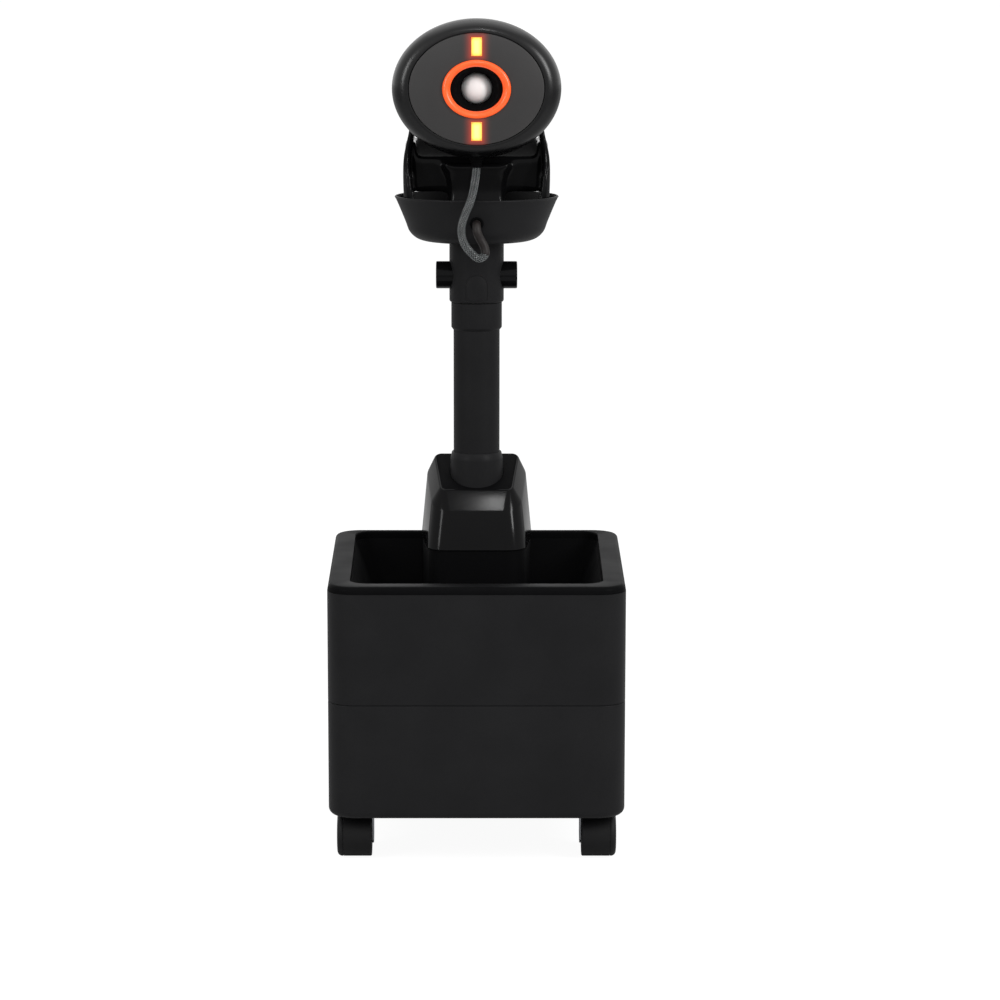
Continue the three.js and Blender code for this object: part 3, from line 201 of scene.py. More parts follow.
# Tray and cradle
TRAY_BOTTOM = 751.7
TRAY_RIM_HEIGHT = 810
TRAY_RIM_RADIUS = 106.2
TRAY_WALL = 3
TRAY_FLOOR = TRAY_BOTTOM + TRAY_WALL
TRAY_HOLE = 31.8
TRAY_ROOM_TOP = 980
TRAY_SHARES = [(0.54, 0), (0.64, 0.006), (0.74, 0.07), (0.82, 0.21), (0.87, 0.44), (0.99, 0.95)]
CABLE_HOLE_HEIGHT = 780
CABLE_HOLE_RADIUS = 8.6
CABLE_HOLE_CUT = (40, 120)
GROMMET_FRONT = -98.3
GROMMET_LENGTH = 9
PIVOT_HEIGHT = 950
HEAD_CENTRE = (0, COLUMN_Y, PIVOT_HEIGHT)
SWEEP_RADIUS = 90
FRONT_SWEEP_RADIUS = 102
EAR_INNER_X = 77
EAR_OUTER_X = 94.3
EAR_BOTTOM = 800
EAR_TOP = 970
EAR_DEPTH = 62
EAR_CORNER = 1.6
# An ear's rows, in shares of its size: rise, inner and outer side, front, back
EAR_SHARES = [
    (0, 0.848, 0.986, 0.84, 1), (0.18, 0.89, 1, 0.81, 1), (0.365, 0.9, 0.99, 0.61, 0.97),
    (0.55, 0.843, 0.923, 0.435, 0.89), (0.79, 0.8165, 0.87, 0.42, 0.484),
    (1, 0.8165, 0.864, 0.19, 0.19),
]
# The pedestal's rows: height, half width and front
PEDESTAL_ROWS = [
    (755, 50, 45), (775, 45, 41), (796, 39.5, 36.5), (812, 37, 34.3), (826, 37, 34),
    (840, 40.5, 34.5), (856, 50, 36), (870, 62, 37), (881, 70, 38),
]
PEDESTAL_BACK = 26
PEDESTAL_CORNER = 12
PEDESTAL_VOXEL = 2
PEDESTAL_SMOOTHING = 34
CRADLE_VOXEL = 1.6
CRADLE_SMOOTHING = 4
CRADLE_SMOOTH_ANGLE = 80
# Saddle: half width, front, back, corner radius, bottom and top
SADDLE = (92, 24, 66, 16, 816, 881)
# Space ahead of the saddle: half width, front, bottom and top
FRONT_SWEEP_SPACE = (90, 110, 840, 1060)
# Cylinders on the column's axis and on the yaw pinion's: radius, bottom and top
CRADLE_FOOT = (64, 755, 759)
CRADLE_NECK = (25, 816, 857)
COLUMN_ROOMS = [(35.6, 747, 770.8), (28.6, 760, 782.6), (22.5, 780, 865)]
PINION_ROOMS = [(11.3, 775, 802), (20.6, 759, 771)]
PINION_BEHIND = 50
PIN_ROOM = 5.3
EAR_CUT = 100

# Head, from the pitch axis; its oval shapes are round shapes stretched along X
HEAD_STRETCH = 1.222
REAR_STRETCH = 1.05
RING_STRETCH = 1.185
FACE_RADIUS = 70.1
FACE_FRONT = 95.5
FACE_BACK = 92.5
FACE_CUT = (80, 110)
FLANGE_RADIUS = 79
FLANGE_FRONT = 41.7
REAR_RADIUS = 72
REAR_LENGTH = 84
REAR_SHARES = [(1, 0), (0.97, 0.25), (0.9, 0.49), (0.8, 0.7), (0.6, 0.88), (0.33, 0.97), (0, 1)]
VENT_COUNT = 7
VENT_PITCH = 9
VENT_HALF = 1.6
VENT_CORNER = 1.5
VENT_CIRCLE = 40
VENT_REACH = 34
VENT_CUT = (40, 100)
BOSS_RADIUS = 11
BOSS_END_X = 76.7
BOSS_DEPTH = 14
BOSS_CUT = 90
ELBOW_HOLE = (23, 850, 920)
RING_OUTER = 36.6
RING_INNER = 28
LED_WIDTH = 13.6
LED_LENGTH = 23.4
LED_OFFSET = 53
LED_EDGE = 5.2
LED_FADE = 5.6
LED_STRENGTH = 0.95
LED_MIDDLE = 0.62
# The bars' glow painted on the face: reach, fall and strength
HALO_REACH = 15
HALO_FALL = 3.0
HALO_STRENGTH = 0.42
BALL_RADIUS = 20
BALL_FORWARD = 64
BALL_TURN = (24, 31, 0)
BALL_STEPS = 64
BALL_SEAM = 0.06
BALL_SMOOTH_ANGLE = 60
GLAND_Y = 48.4
GLAND_BOTTOM = 849.6

# Head cable: a limp braided lead from the head's gland to the tray's grommet
CABLE_ROUTE = [
    (0, 48.4, 853.3), (0, 48.4, 849.3), (-0.6, 41.9, 842.6), (-1.5, 30.4, 836.2),
    (-2.6, 17.4, 829.4), (-4.1, 5.9, 822.8), (-6.1, -3, 815), (-8.8, -7.4, 807), (-14, -9.1, 794.9),
    (-18.2, -9.4, 782.3), (-19.2, -9.2, 771), (-15.4, -8.6, 757), (-6.4, -7.1, 744.9),
    (3.2, -4.4, 738), (10.6, -1.2, 742.5), (9.6, 0, 752.5), (4.4, -1, 762.5), (1, -2.6, 770.5),
    (0, -0.1, 777.6), (0, 4.6, 780), (0, 9.8, 780),
]
CABLE_RADIUS = 5.2
CABLE_STEPS = 22
STRANDS = 8
STRAND_PITCH = 26
STRAND_HALF_WIDTH = 0.48
STRAND_HALF_THICKNESS = 0.22
STRAND_WEAVE = 0.24
STRAND_SIDES = 6
WIRES = 3
WIRE_STRIDE = 4
WIRE_RADIUS = 1.75
WIRE_CIRCLE = 2.1
WIRE_PITCH = 44
WIRE_SIDES = 12
SHRINK_START = 14
SHRINK_WALL = 0.35
SHRINK_SIDES = 32
CABLE_SMOOTH_ANGLE = 60


# Shape helpers
def linked(name, data):
    """A new object in the scene."""
    obj = bpy.data.objects.new(name, data)
    bpy.context.scene.collection.objects.link(obj)
    return obj


def edited(obj):
    """Opens a piece for editing with everything selected."""
    fresh(obj)
    bpy.ops.object.mode_set(mode="EDIT")
    bpy.ops.mesh.select_all(action="SELECT")


def fresh(*chosen):
    """Leaves edit mode with only the chosen objects selected."""
    if bpy.context.mode != "OBJECT":
        bpy.ops.object.mode_set(mode="OBJECT")
    bpy.ops.object.select_all(action="DESELECT")
    for obj in chosen:
        obj.select_set(True)
        bpy.context.view_layer.objects.active = obj


def curve_through(points, steps):
    """A centripetal curve through points of any dimension, with steps points for each span."""
    knots = [Vector(p) for p in points]
    knots = [knots[0] * 2 - knots[1], *knots, knots[-1] * 2 - knots[-2]]
    line = []
    for a, b, c, d in zip(knots, knots[1:], knots[2:], knots[3:]):
        ab, bc, cd = (sqrt((q - p).length) for p, q in ((a, b), (b, c), (c, d)))
        leave = ((b - a) / ab - (c - a) / (ab + bc) + (c - b) / bc) * bc
        arrive = ((c - b) / bc - (d - b) / (bc + cd) + (d - c) / cd) * bc
        for step in range(steps):
            t = step / steps
            bend = (b * -3 + c * 3 - leave * 2 - arrive) * t * t
            line.append(b + leave * t + bend + (b * 2 - c * 2 + leave + arrive) * t ** 3)
    line.append(knots[-2])
    return line


def finish_mesh(obj):
    """Closes seams and poles and turns the faces outwards."""
    bpy.ops.mesh.select_all(action="SELECT")
    bpy.ops.mesh.remove_doubles(threshold=WELD * MM)
    bpy.ops.mesh.normals_make_consistent(inside=False)
    bpy.ops.object.mode_set(mode="OBJECT")
    return obj


def rod(radius, low, high):
    """The profile of a plain cylinder."""
    return [(0, low), (radius, low), (radius, high), (0, high)]


def turned(profile, sides=SIDES):
    """Extrudes a circle along Z through rows of radius and height.

    A profile that starts off the axis comes back to its first row.
    """
    rows = [(max(row[0], POLE), row[1]) for row in profile]
    if profile[0][0]:
        rows.append(rows[0])
    fresh()
    bpy.ops.mesh.primitive_circle_add(vertices=sides, radius=rows[0][0] * MM)
    obj = bpy.context.object
    bpy.ops.object.mode_set(mode="EDIT")
    bpy.ops.transform.translate(value=(0, 0, rows[0][1] * MM))
    for (radius, height), (next_radius, next_height) in zip(rows, rows[1:]):
        rise = (0, 0, (next_height - height) * MM)
        bpy.ops.mesh.extrude_region_move(TRANSFORM_OT_translate={"value": rise})
        grow = next_radius / radius
        bpy.ops.transform.resize(value=(grow, grow, 1), center_override=(0, 0, next_height * MM))
    return finish_mesh(obj)


def placed(obj, at=(0, 0, 0), turn=(0, 0, 0), stretch=1):
    """Stretches a piece along X, turns it, moves it, and lays its place into its mesh."""
    obj.scale = (stretch, 1, 1)
    obj.rotation_euler = [radians(angle) for angle in turn]
    obj.location = [v * MM for v in at]
    fresh(obj)
    bpy.ops.object.transform_apply(location=True, rotation=True, scale=True)
    return obj


def forward(profile, stretch=1):
    """Turned about the launch axis: rows of radius and distance in front of the pitch axis."""
    return placed(turned(profile), HEAD_CENTRE, (90, 0, 0), stretch)


def on_column(rows, sides=SIDES):
    return placed(turned(rows, sides), (0, COLUMN_Y, 0))


def disc(radius, low, high, sides=SIDES):
    """A plain cylinder round the column's axis."""
    return on_column(rod(radius, low, high), sides)


def along_x(profile, at, sides=SMALL_SIDES, side=1):
    """Turned about an axis along X; side -1 turns it to face -X."""
    return placed(turned(profile, sides), at, (0, 90 * side, 0))


def along_y(profile, at, side=-1):
    """Turned about an axis along Y; side -1 turns it to face the front."""
    return placed(turned(profile, SMALL_SIDES), at, (-90 * side, 0, 0))


def skin(outlines, ring=False):
    """Extrudes a face through the outlines, or an open edge that comes back to the first."""
    fresh()
    fill = "NOTHING" if ring else "NGON"
    bpy.ops.mesh.primitive_circle_add(vertices=len(outlines[0]), radius=1, fill_type=fill)
    obj = bpy.context.object
    bpy.ops.object.mode_set(mode="EDIT")
    for step, outline in enumerate(outlines + outlines[:1] * ring):
        if step:
            bpy.ops.mesh.extrude_region_move(TRANSFORM_OT_translate={"value": (0, 0, 0)})
        mesh = bmesh.from_edit_mesh(obj.data)
        loop = [vertex for vertex in mesh.verts if vertex.select]
        for vertex, point in zip(loop, outline):
            vertex.co = Vector(point) * MM
        bmesh.update_edit_mesh(obj.data)
    return finish_mesh(obj)


def rounded(corners, radius, steps=CORNER_STEPS):
    """An outline in plan with rounded corners."""
    outline = []
    for before, corner, after in zip(corners[-1:] + corners, corners, corners[1:] + corners[:1]):
        here = Vector(corner)
        back, on = (Vector(before) - here).normalized(), (Vector(after) - here).normalized()
        half = back.angle(on) / 2
        centre = here + (back + on).normalized() * (radius / sin(half))
        start = here + back * (radius / tan(half)) - centre
        end = here + on * (radius / tan(half)) - centre
        first = atan2(start.y, start.x)
        sweep = (atan2(end.y, end.x) - first + pi) % (2 * pi) - pi
        for step in range(steps + 1):
            angle = first + sweep * step / steps
            outline.append((centre.x + radius * cos(angle), centre.y + radius * sin(angle)))
    return outline


def trapezoid(front_half, back_half, front_y, back_y, radius):
    corners = [
        (-front_half, front_y), (front_half, front_y), (back_half, back_y), (-back_half, back_y),
    ]
    return rounded(corners, radius)


def level(outline, height):
    return [(x, y, height) for x, y in outline]


def block(low, high, bevel=0.0):
    """A box between two corners with rounded edges."""
    fresh()
    middle = [(a + b) / 2 * MM for a, b in zip(low, high)]
    bpy.ops.mesh.primitive_cube_add(size=1, location=middle)
    obj = bpy.context.object
    obj.scale = [(b - a) * MM for a, b in zip(low, high)]
    bpy.ops.object.transform_apply(location=True, rotation=True, scale=True)
    if bevel:
        edited(obj)
        bpy.ops.mesh.bevel(offset=bevel * MM, segments=EDGE_STEPS)
        bpy.ops.object.mode_set(mode="OBJECT")
    return obj


def modified(obj, kind, **settings):
    """Applies a modifier with the given settings."""
    fresh(obj)
    modifier = obj.modifiers.new("shape", kind)
    for name, value in settings.items():
        setattr(modifier, name, value)
    bpy.ops.object.modifier_apply(modifier=modifier.name)
    return obj


def carved(obj, *tools, operation="DIFFERENCE"):
    """Cuts the tools from a piece, or joins or intersects them with it."""
    for tool in tools:
        modified(obj, "BOOLEAN", operation=operation, solver="EXACT", object=tool)
        bpy.data.objects.remove(tool)
    return obj


def softened(obj, width, steps=EDGE_STEPS, angle=SHARP_ANGLE):
    """Rounds every edge sharper than the angle."""
    return modified(
        obj, "BEVEL", width=width * MM, segments=steps, limit_method="ANGLE",
        angle_limit=radians(angle), use_clamp_overlap=True,
    )


def copied(name, width):
    """A merged copy of a solid, with its sharp edges rounded."""
    obj = linked(name + "_copy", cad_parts[name].data.copy())
    edited(obj)
    bpy.ops.mesh.remove_doubles(threshold=POLE * MM)
    bpy.ops.mesh.dissolve_limited(angle_limit=radians(FLAT_ANGLE))
    bpy.ops.object.mode_set(mode="OBJECT")
    return softened(obj, width)


def dressed(obj, name, kind, body, *nodes, smooth=SMOOTH_ANGLE):
    """Names a piece, gives it its finish and body, and lets it stand for its solids."""
    fresh(obj)
    bpy.ops.object.shade_smooth_by_angle(angle=radians(smooth))
    obj.name = obj.data.name = name
    obj.data.materials.clear()
    obj.data.materials.append(finishes[kind])
    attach(obj, body)
    if nodes:
        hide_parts(*nodes)
    return obj


# Material helpers
def linear(code):
    """An sRGB hex colour as linear red, green, blue and alpha."""
    parts = [int(code[i:i + 2], 16) / 255 for i in (1, 3, 5)]
    return [c / 12.92 if c <= 0.04045 else ((c + 0.055) / 1.055) ** 2.4 for c in parts] + [1]


def plug(tree, node, sockets):
    """Gives a node's sockets their values or links."""
    for name, value in sockets.items():
        if isinstance(value, bpy.types.NodeSocket):
            tree.links.new(value, node.inputs[name])
        else:
            node.inputs[name].default_value = value
    return node


def add(tree, kind, sockets=None, **settings):
    """Adds a shader node with its settings, and values or links for its sockets."""
    node = tree.nodes.new("ShaderNode" + kind)
    for name, value in settings.items():
        setattr(node, name, value)
    return plug(tree, node, sockets or {})


def shown(tree, output, share, first, second):
    """Puts a mix of two shaders on an output node."""
    mix = add(tree, "MixShader", {0: share, 1: first.outputs[0], 2: second.outputs[0]})
    plug(tree, tree.nodes[output], {"Surface": mix.outputs[0]})


def maths(tree, operation, first, second=0.0):
    """The result of a sum on two values or links."""
    sockets = {0: first, 1: second}
    return add(tree, "Math", sockets, operation=operation).outputs[0]


DRIFT_RANGE = (0.3, 0.7)
TONE_RANGE = (0.12, 0.4)


def finish(name, colour, shade, roughness, spread, grain, depth, cloud, shine):
    """A surface whose colour and polish drift in clouds and whose grain is a shallow bump."""
    material = bpy.data.materials.new(name)
    material.use_nodes = True
    tree = material.node_tree
    place = add(tree, "TexCoord").outputs["Object"]
    drift = add(tree, "TexNoise", {"Vector": place, "Scale": 1 / (cloud * MM), "Detail": 3})
    polish = add(tree, "MapRange", {
        "Value": drift.outputs["Fac"], "From Min": DRIFT_RANGE[0], "From Max": DRIFT_RANGE[1],
        "To Min": roughness - spread, "To Max": roughness + spread,
    })
    speck = add(tree, "TexNoise", {"Vector": place, "Scale": 1 / (grain * MM), "Detail": 2})
    tone = add(tree, "MapRange", {
        "Value": maths(tree, "MULTIPLY", drift.outputs["Fac"], speck.outputs["Fac"]),
        "From Min": TONE_RANGE[0], "From Max": TONE_RANGE[1],
    })
    mix = add(tree, "Mix", {"Factor": tone.outputs["Result"]}, data_type="RGBA")
    plug(tree, mix, {"A": linear(shade), "B": linear(colour)})
    bump = add(tree, "Bump", {
        "Height": speck.outputs["Fac"], "Distance": depth * MM, "Strength": 1,
    })
    plug(tree, tree.nodes["Principled BSDF"], {
        "Roughness": polish.outputs["Result"], "Base Color": mix.outputs[2],
        "Normal": bump.outputs["Normal"], "Specular IOR Level": shine,
    })
    return material


# Finishes: slot, colour, darker shade, roughness and its spread, the bump's grain and depth,
# the clouds' size and the specular level
FINISHES = {
    # Injection-moulded ABS, spark-eroded mould: fine even grain, wide and dull highlights
    "satin_abs": ("satin_black", "#222223", "#1d1d1e", 0.42, 0.04, 0.7, 0.02, 70, 0.06),
    # ABS from a polished mould: near-mirror skin with slow waves
    "gloss_abs": ("gloss_black", "#0f0f10", "#0c0c0d", 0.13, 0.02, 2.4, 0.002, 70, 0.09),
    # The head's ABS: polished, then softened by a lacquer that spreads its highlights
    "head_abs": ("gloss_black", "#0c0c0d", "#09090a", 0.28, 0.04, 2.4, 0.004, 70, 0.3),
    # Semi-gloss ABS of the bin's rim: polished, then dulled by hands and balls
    "rim_abs": ("gloss_black", "#111112", "#0e0e0f", 0.38, 0.04, 1.1, 0.006, 70, 0.01),
    # Moulded polypropylene of the bin's inside: soft, waxy and very dark
    "bin_polypropylene": ("deep_black", "#0a0a0b", "#070708", 0.65, 0.06, 1.6, 0.03, 70, 0.03),
    # Glass-filled nylon of gears and tubes: dull and slightly cloudy
    "dark_nylon": ("dark_nylon", "#2b2c2f", "#232426", 0.5, 0.08, 0.9, 0.04, 70, 0.5),
    "white_nylon": ("", "#d9d6cc", "#cbc7ba", 0.42, 0.06, 0.9, 0.03, 70, 0.5),
    # Moulded rubber: very matte, slightly greyed by dust, with a coarse skin
    "black_rubber": ("black_rubber", "#0e0e0f", "#0a0a0b", 0.55, 0.06, 0.8, 0.04, 70, 0.22),
    # Polyurethane foam rubber of the throw wheels: grippy, dull, open skin
    "throw_rubber": ("", "#3b3d42", "#303236", 0.85, 0.06, 0.6, 0.08, 70, 0.5),
    # Zinc-plated steel: pale metal with a soft cloudy passivation
    "zinc_steel": ("steel", "#a9abae", "#94979b", 0.34, 0.07, 0.5, 0.01, 24, 0.5),
    # Plastic of the ball: even matt white, sanded after moulding
    "ball_plastic": ("ball_white", "#f7f7f6", "#f0f0ee", 0.42, 0.05, 0.5, 0.015, 70, 0.5),
    # Heat-shrunk PVC film on the battery: smooth, a little wrinkled
    "battery_film": ("", "#2b4a78", "#233d66", 0.32, 0.08, 7, 0.18, 40, 0.5),
    # Lead: PVC wires, a sleeve of hard bright PET bristles, and dull shrunk polyolefin at its end,
    # dark also as painted shade
    "wire_pvc": ("", "#1a1b1d", "#101112", 0.42, 0.05, 1.2, 0.02, 70, 0.5),
    "sleeve_pet": ("", "#7b7f7f", "#505455", 0.24, 0.05, 1.4, 0.02, 12, 0.5),
    "shrink_and_shade": ("", "#1d1716", "#151110", 0.5, 0.06, 3, 0.05, 12, 0.3),
    # Painted ABS of the face: flat dark grey lacquer
    "face_lacquer": ("face_grey", "#3a3939", "#353434", 0.42, 0.04, 0.5, 0.012, 70, 0.25),
    # Clear polycarbonate lenses and the frosted orange ring
    "led_lens": ("light_bar", "#ffb45a", "#ff9a3c", 0.3, 0.03, 1.2, 0.01, 70, 0.5),
    "ring_polycarbonate": ("orange_ring", "#f4622a", "#ea5522", 0.28, 0.03, 1.5, 0.006, 70, 0.5),
    # Solder mask of the control board
    "board_mask": ("", "#1d5b3a", "#174c30", 0.36, 0.04, 0.6, 0.01, 70, 0.5),
}
finishes = {name: finish(name, *row[1:]) for name, row in FINISHES.items()}


def tuned(kind, sockets):
    """Gives a finish's shader more values or links."""
    tree = finishes[kind].node_tree
    plug(tree, tree.nodes["Principled BSDF"], sockets)


tuned("zinc_steel", {"Metallic": 1.0})
tuned("sleeve_pet", {"Coat Weight": 0.6})
# The ring is lit a little from behind
tuned("ring_polycarbonate", {"Emission Color": linear("#ff5a1c"), "Emission Strength": 0.45})

# Camera
camera = linked("camera", bpy.data.cameras.new("camera"))
camera.location = CAMERA_PLACE
camera.rotation_euler = (radians(90 - CAMERA_DIP), 0, 0)
camera.data.lens = CAMERA_LENS
camera.data.shift_x = CAMERA_SHIFT
camera.data.clip_end = CAMERA_REACH
bpy.context.scene.camera = camera


# Head cable: woven strands round three wires
def frames_along(line):
    """Sideways and upward directions carried along a line without twist."""
    ways = [(b - a).normalized() for a, b in zip(line, line[1:])]
    ways.append(ways[-1])
    side = ways[0].orthogonal().normalized()
    found = []
    for way in ways:
        side = (side - way * side.dot(way)).normalized()
        found.append((side, way.cross(side)))
    return found


def tubes_along(line, tracks, name):
    """One mesh of thin tubes: each track gives angle, distance out and oval at a length."""
    frames = frames_along(line)
    run = [0.0]
    for a, b in zip(line, line[1:]):
        run.append(run[-1] + (b - a).length)
    vertices, faces = [], []
    for track in tracks:
        first = len(vertices)
        for point, (side, up), length in zip(line, frames, run):
            angle, out, wide, thick, sides = track(length)
            radial = side * cos(angle) + up * sin(angle)
            across = up * cos(angle) - side * sin(angle)
            for step in range(sides):
                turn = 2 * pi * step / sides
                reach = radial * (out + thick * cos(turn)) + across * (wide * sin(turn))
                vertices.append((point + reach) * MM)
        for row in range(len(line) - 1):
            for step in range(sides):
                a, b = first + row * sides + step, first + row * sides + (step + 1) % sides
                faces.append((a, b, b + sides, a + sides))
        last = first + (len(line) - 1) * sides
        faces.append(tuple(range(first + sides - 1, first - 1, -1)))
        faces.append(tuple(range(last, last + sides)))
    mesh = bpy.data.meshes.new(name)
    mesh.from_pydata(vertices, [], faces)
    obj = linked(name, mesh)
    edited(obj)
    bpy.ops.mesh.normals_make_consistent(inside=False)
    bpy.ops.object.mode_set(mode="OBJECT")
    return obj


def strand(number, way):
    """A strand of the sleeve; the two ways pass over and under each other in turn."""
    def track(length):
        angle = 2 * pi * (number / STRANDS + way * length / STRAND_PITCH)
        weave = way * STRAND_WEAVE * cos(2 * pi * STRANDS * length / STRAND_PITCH)
        out = CABLE_RADIUS - STRAND_HALF_THICKNESS - STRAND_WEAVE + weave
        return angle, out, STRAND_HALF_WIDTH, STRAND_HALF_THICKNESS, STRAND_SIDES
    return track


def wire(number):
    """One of the insulated wires, which lie twisted in the sleeve."""
    def track(length):
        angle = 2 * pi * (number / WIRES + length / WIRE_PITCH)
        return angle, WIRE_CIRCLE, WIRE_RADIUS, WIRE_RADIUS, WIRE_SIDES
    return track


def shrink_tube(length):
    """Tight over the sleeve, and narrowing where it starts."""
    start = min(length / 3, 1)
    radius = CABLE_RADIUS + SHRINK_WALL * sqrt(start)
    return 0, 0, radius, radius, SHRINK_SIDES


cable_line = curve_through(CABLE_ROUTE, CABLE_STEPS)
sleeve = tubes_along(
    cable_line, [strand(n, way) for way in (1, -1) for n in range(STRANDS)], "cable_sleeve",
)
wires = tubes_along(
    cable_line[::WIRE_STRIDE] + cable_line[-1:], [wire(n) for n in range(WIRES)], "cable_wires",
)
# The dark shrink tube on the lead's last stretch is partly painted shade: that end lies in shade
shrink_line = cable_line[SHRINK_START * CABLE_STEPS:]
shrink = tubes_along(shrink_line, [shrink_tube], "cable_shrink")
for piece, kind in (
    (sleeve, "sleeve_pet"), (wires, "wire_pvc"), (shrink, "shrink_and_shade"),
):
    fresh(piece)
    bpy.ops.object.shade_smooth_by_angle(angle=radians(CABLE_SMOOTH_ANGLE))
    piece.data.materials.append(finishes[kind])
    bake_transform(piece)
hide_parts("head_cable")

# Strain relief: a ribbed taper that the lead leaves the head through
relief = placed(turned([
    (5.5, 12.1), (5.5, 0), (5.9, -0.3), (6.3, 0), (6.4, 1.2), (6.1, 1.6), (6.1, 2.4), (6.6, 2.8),
    (6.7, 4.2), (6.3, 4.6), (6.3, 5.4), (6.9, 5.8), (7, 7.2), (6.6, 7.6), (6.6, 8.4), (8.4, 8.7),
    (8.8, 9.2), (8.8, 12.1),
], SMALL_SIDES), (0, GLAND_Y, GLAND_BOTTOM))
dressed(relief, "cable_relief", "bin_polypropylene", "head", "cable_gland")


# Box
def widened(section, margin):
    """A section in plan, widened by a margin."""
    front_half, back_half, front_y, back_y, radius = section
    return trapezoid(
        front_half + margin, back_half + margin, front_y - margin, back_y + margin, radius + margin,
    )


def body_at(inset, height):
    """A level section of the box, drawn in by an inset."""
    return level(widened(BODY, -inset), height)


def bin_at(outset, height):
    """A level section of the bin's mouth, widened by an outset."""
    return level(widened(BIN_MOUTH, outset), height)


def rounding(steps):
    """Shares of inset and rise round a quarter circle, from the wall to the flat."""
    angles = [pi / 2 * step / steps for step in range(steps + 1)]
    return [(1 - cos(angle), sin(angle)) for angle in angles]


def make_tub():
    top = SEAM_HEIGHT - SEAT_GAP / 2
    inside = BODY_BOTTOM + WALL
    rows = [body_at(BODY_FILLET * a, BODY_BOTTOM + BODY_FILLET * (1 - b)) for a, b in rounding(8)]
    rows.reverse()
    rows += [body_at(0, top - SEAM_BEVEL)]
    rows += [body_at(SEAM_BEVEL * a, top - SEAM_BEVEL * (1 - b)) for a, b in rounding(4)[1:]]
    rows += [body_at(WALL, top), body_at(WALL, inside + BODY_FILLET)]
    rows += [body_at(WALL + BODY_FILLET, inside)]
    tub = skin(rows)
    half, height = SWITCH_WIDTH / 2 + SEAT_GAP, SWITCH_HEIGHT / 2 + SEAT_GAP * 2
    back = BODY[3]
    switch_hole = block(
        (-PANEL_X - half, back - OVERRUN, PANEL_HEIGHT - height),
        (-PANEL_X + half, back + OVERRUN, PANEL_HEIGHT + height),
    )
    hole = rod(SOCKET_RADIUS + SEAT_GAP, -OVERRUN, OVERRUN)
    socket_hole = along_y(hole, (PANEL_X, back, PANEL_HEIGHT))
    return carved(tub, switch_hole, socket_hole)


def make_upper_shell():
    bottom = SEAM_HEIGHT + SEAT_GAP / 2
    top = RIM_HEIGHT - RIM_THICKNESS - SEAT_GAP
    rows = [body_at(SEAM_BEVEL * (1 - b), bottom + SEAM_BEVEL * a) for a, b in rounding(4)]
    rows += [body_at(0, top), body_at(WALL, top), body_at(WALL, bottom)]
    return skin(rows, ring=True)


def make_rim():
    bottom = RIM_HEIGHT - RIM_THICKNESS
    rows = [body_at(RIM_STEP, bottom)]
    rows += [
        body_at(RIM_STEP + RIM_EDGE * a, RIM_HEIGHT - RIM_EDGE * (1 - b)) for a, b in rounding(8)
    ]
    rows += [bin_at(RIM_LIP * (1 - b), RIM_HEIGHT - RIM_LIP * 2 * a) for a, b in rounding(4)]
    rows += [bin_at(0, bottom)]
    return skin(rows, ring=True)


def divided(outline, steps):
    """The outline with its straight edges divided, so that it can follow a circle."""
    points = []
    for i, point in enumerate(outline):
        points.append(point)
        if (i + 1) % (CORNER_STEPS + 1) == 0:
            end = outline[(i + 1) % len(outline)]
            for step in range(1, steps):
                points.append(tuple(a + (b - a) * step / steps for a, b in zip(point, end)))
    return points


def throat(outline, radius):
    """The chamber's circle with one point for each point of the bin's outline."""
    ways = [atan2(y - CHAMBER_Y, x) for x, y in outline]
    return [(radius * cos(a), CHAMBER_Y + radius * sin(a)) for a in ways]


def blended(low, high, share, height):
    """An outline part of the way from one outline to another."""
    return [(a + (c - a) * share, b + (d - b) * share, height) for (a, b), (c, d) in zip(low, high)]


def make_funnel():
    top, bottom = RIM_HEIGHT - RIM_THICKNESS - SEAT_GAP, CHAMBER_TOP + SEAT_GAP
    inner, outer = (divided(widened(BIN_MOUTH, out), FUNNEL_STEPS) for out in (0, WALL))
    shares = [row / FUNNEL_ROWS for row in range(FUNNEL_ROWS + 1)]
    rows = []
    for outline, radius, order in (
        (outer, CHAMBER_RADIUS + WALL, shares), (inner, CHAMBER_RADIUS, shares[::-1]),
    ):
        circle = throat(outline, radius)
        rows += [blended(circle, outline, s, bottom + (top - bottom) * s) for s in order]
    funnel = skin(rows, ring=True)
    hole = widened(TOWER, SEAT_GAP - CREASE_INSET)
    return carved(funnel, skin([level(hole, bottom - OVERRUN), level(hole, top + OVERRUN)]))


def sloping(section, margin, drop):
    """An outline on the plane of the tower's top plate, lowered by a drop."""
    slope = (PLATE_BACK_HEIGHT - PLATE_FRONT_HEIGHT) / (TOWER_PLATE[3] - TOWER_PLATE[2])
    low = PLATE_FRONT_HEIGHT - TOWER_PLATE[2] * slope - drop
    return [(x, y, low + y * slope) for x, y in widened(section, margin)]


def socket_room():
    """What the column's socket needs free in the tower and its plate."""
    return disc(SOCKET_OUTER + SOCKET_GAP, CREASE_HEIGHT + WALL, PLATE_BACK_HEIGHT + OVERRUN)


def make_tower():
    band, plate = TOWER_BAND_DROP, PLATE_THICKNESS
    outer = skin([
        level(widened(TOWER, 0), CREASE_HEIGHT),
        sloping(TOWER_BAND, 0, band), sloping(TOWER_PLATE, 0, 0),
    ])
    softened(outer, TOWER_EDGE, 4, TOWER_EDGE_ANGLE)
    inner = skin([
        level(widened(TOWER, -WALL), CREASE_HEIGHT - OVERRUN),
        level(widened(TOWER, -WALL), CREASE_HEIGHT),
        sloping(TOWER_BAND, -WALL, band + WALL), sloping(TOWER_PLATE, -WALL, plate + WALL),
    ])
    opening, recess = (
        skin([sloping(TOWER_PLATE, -inset, depth), sloping(TOWER_PLATE, -inset, -OVERRUN)])
        for inset, depth in ((PLATE_LEDGE, plate + WALL + OVERRUN), (PLATE_INSET, plate))
    )
    return carved(outer, inner, opening, recess, socket_room())


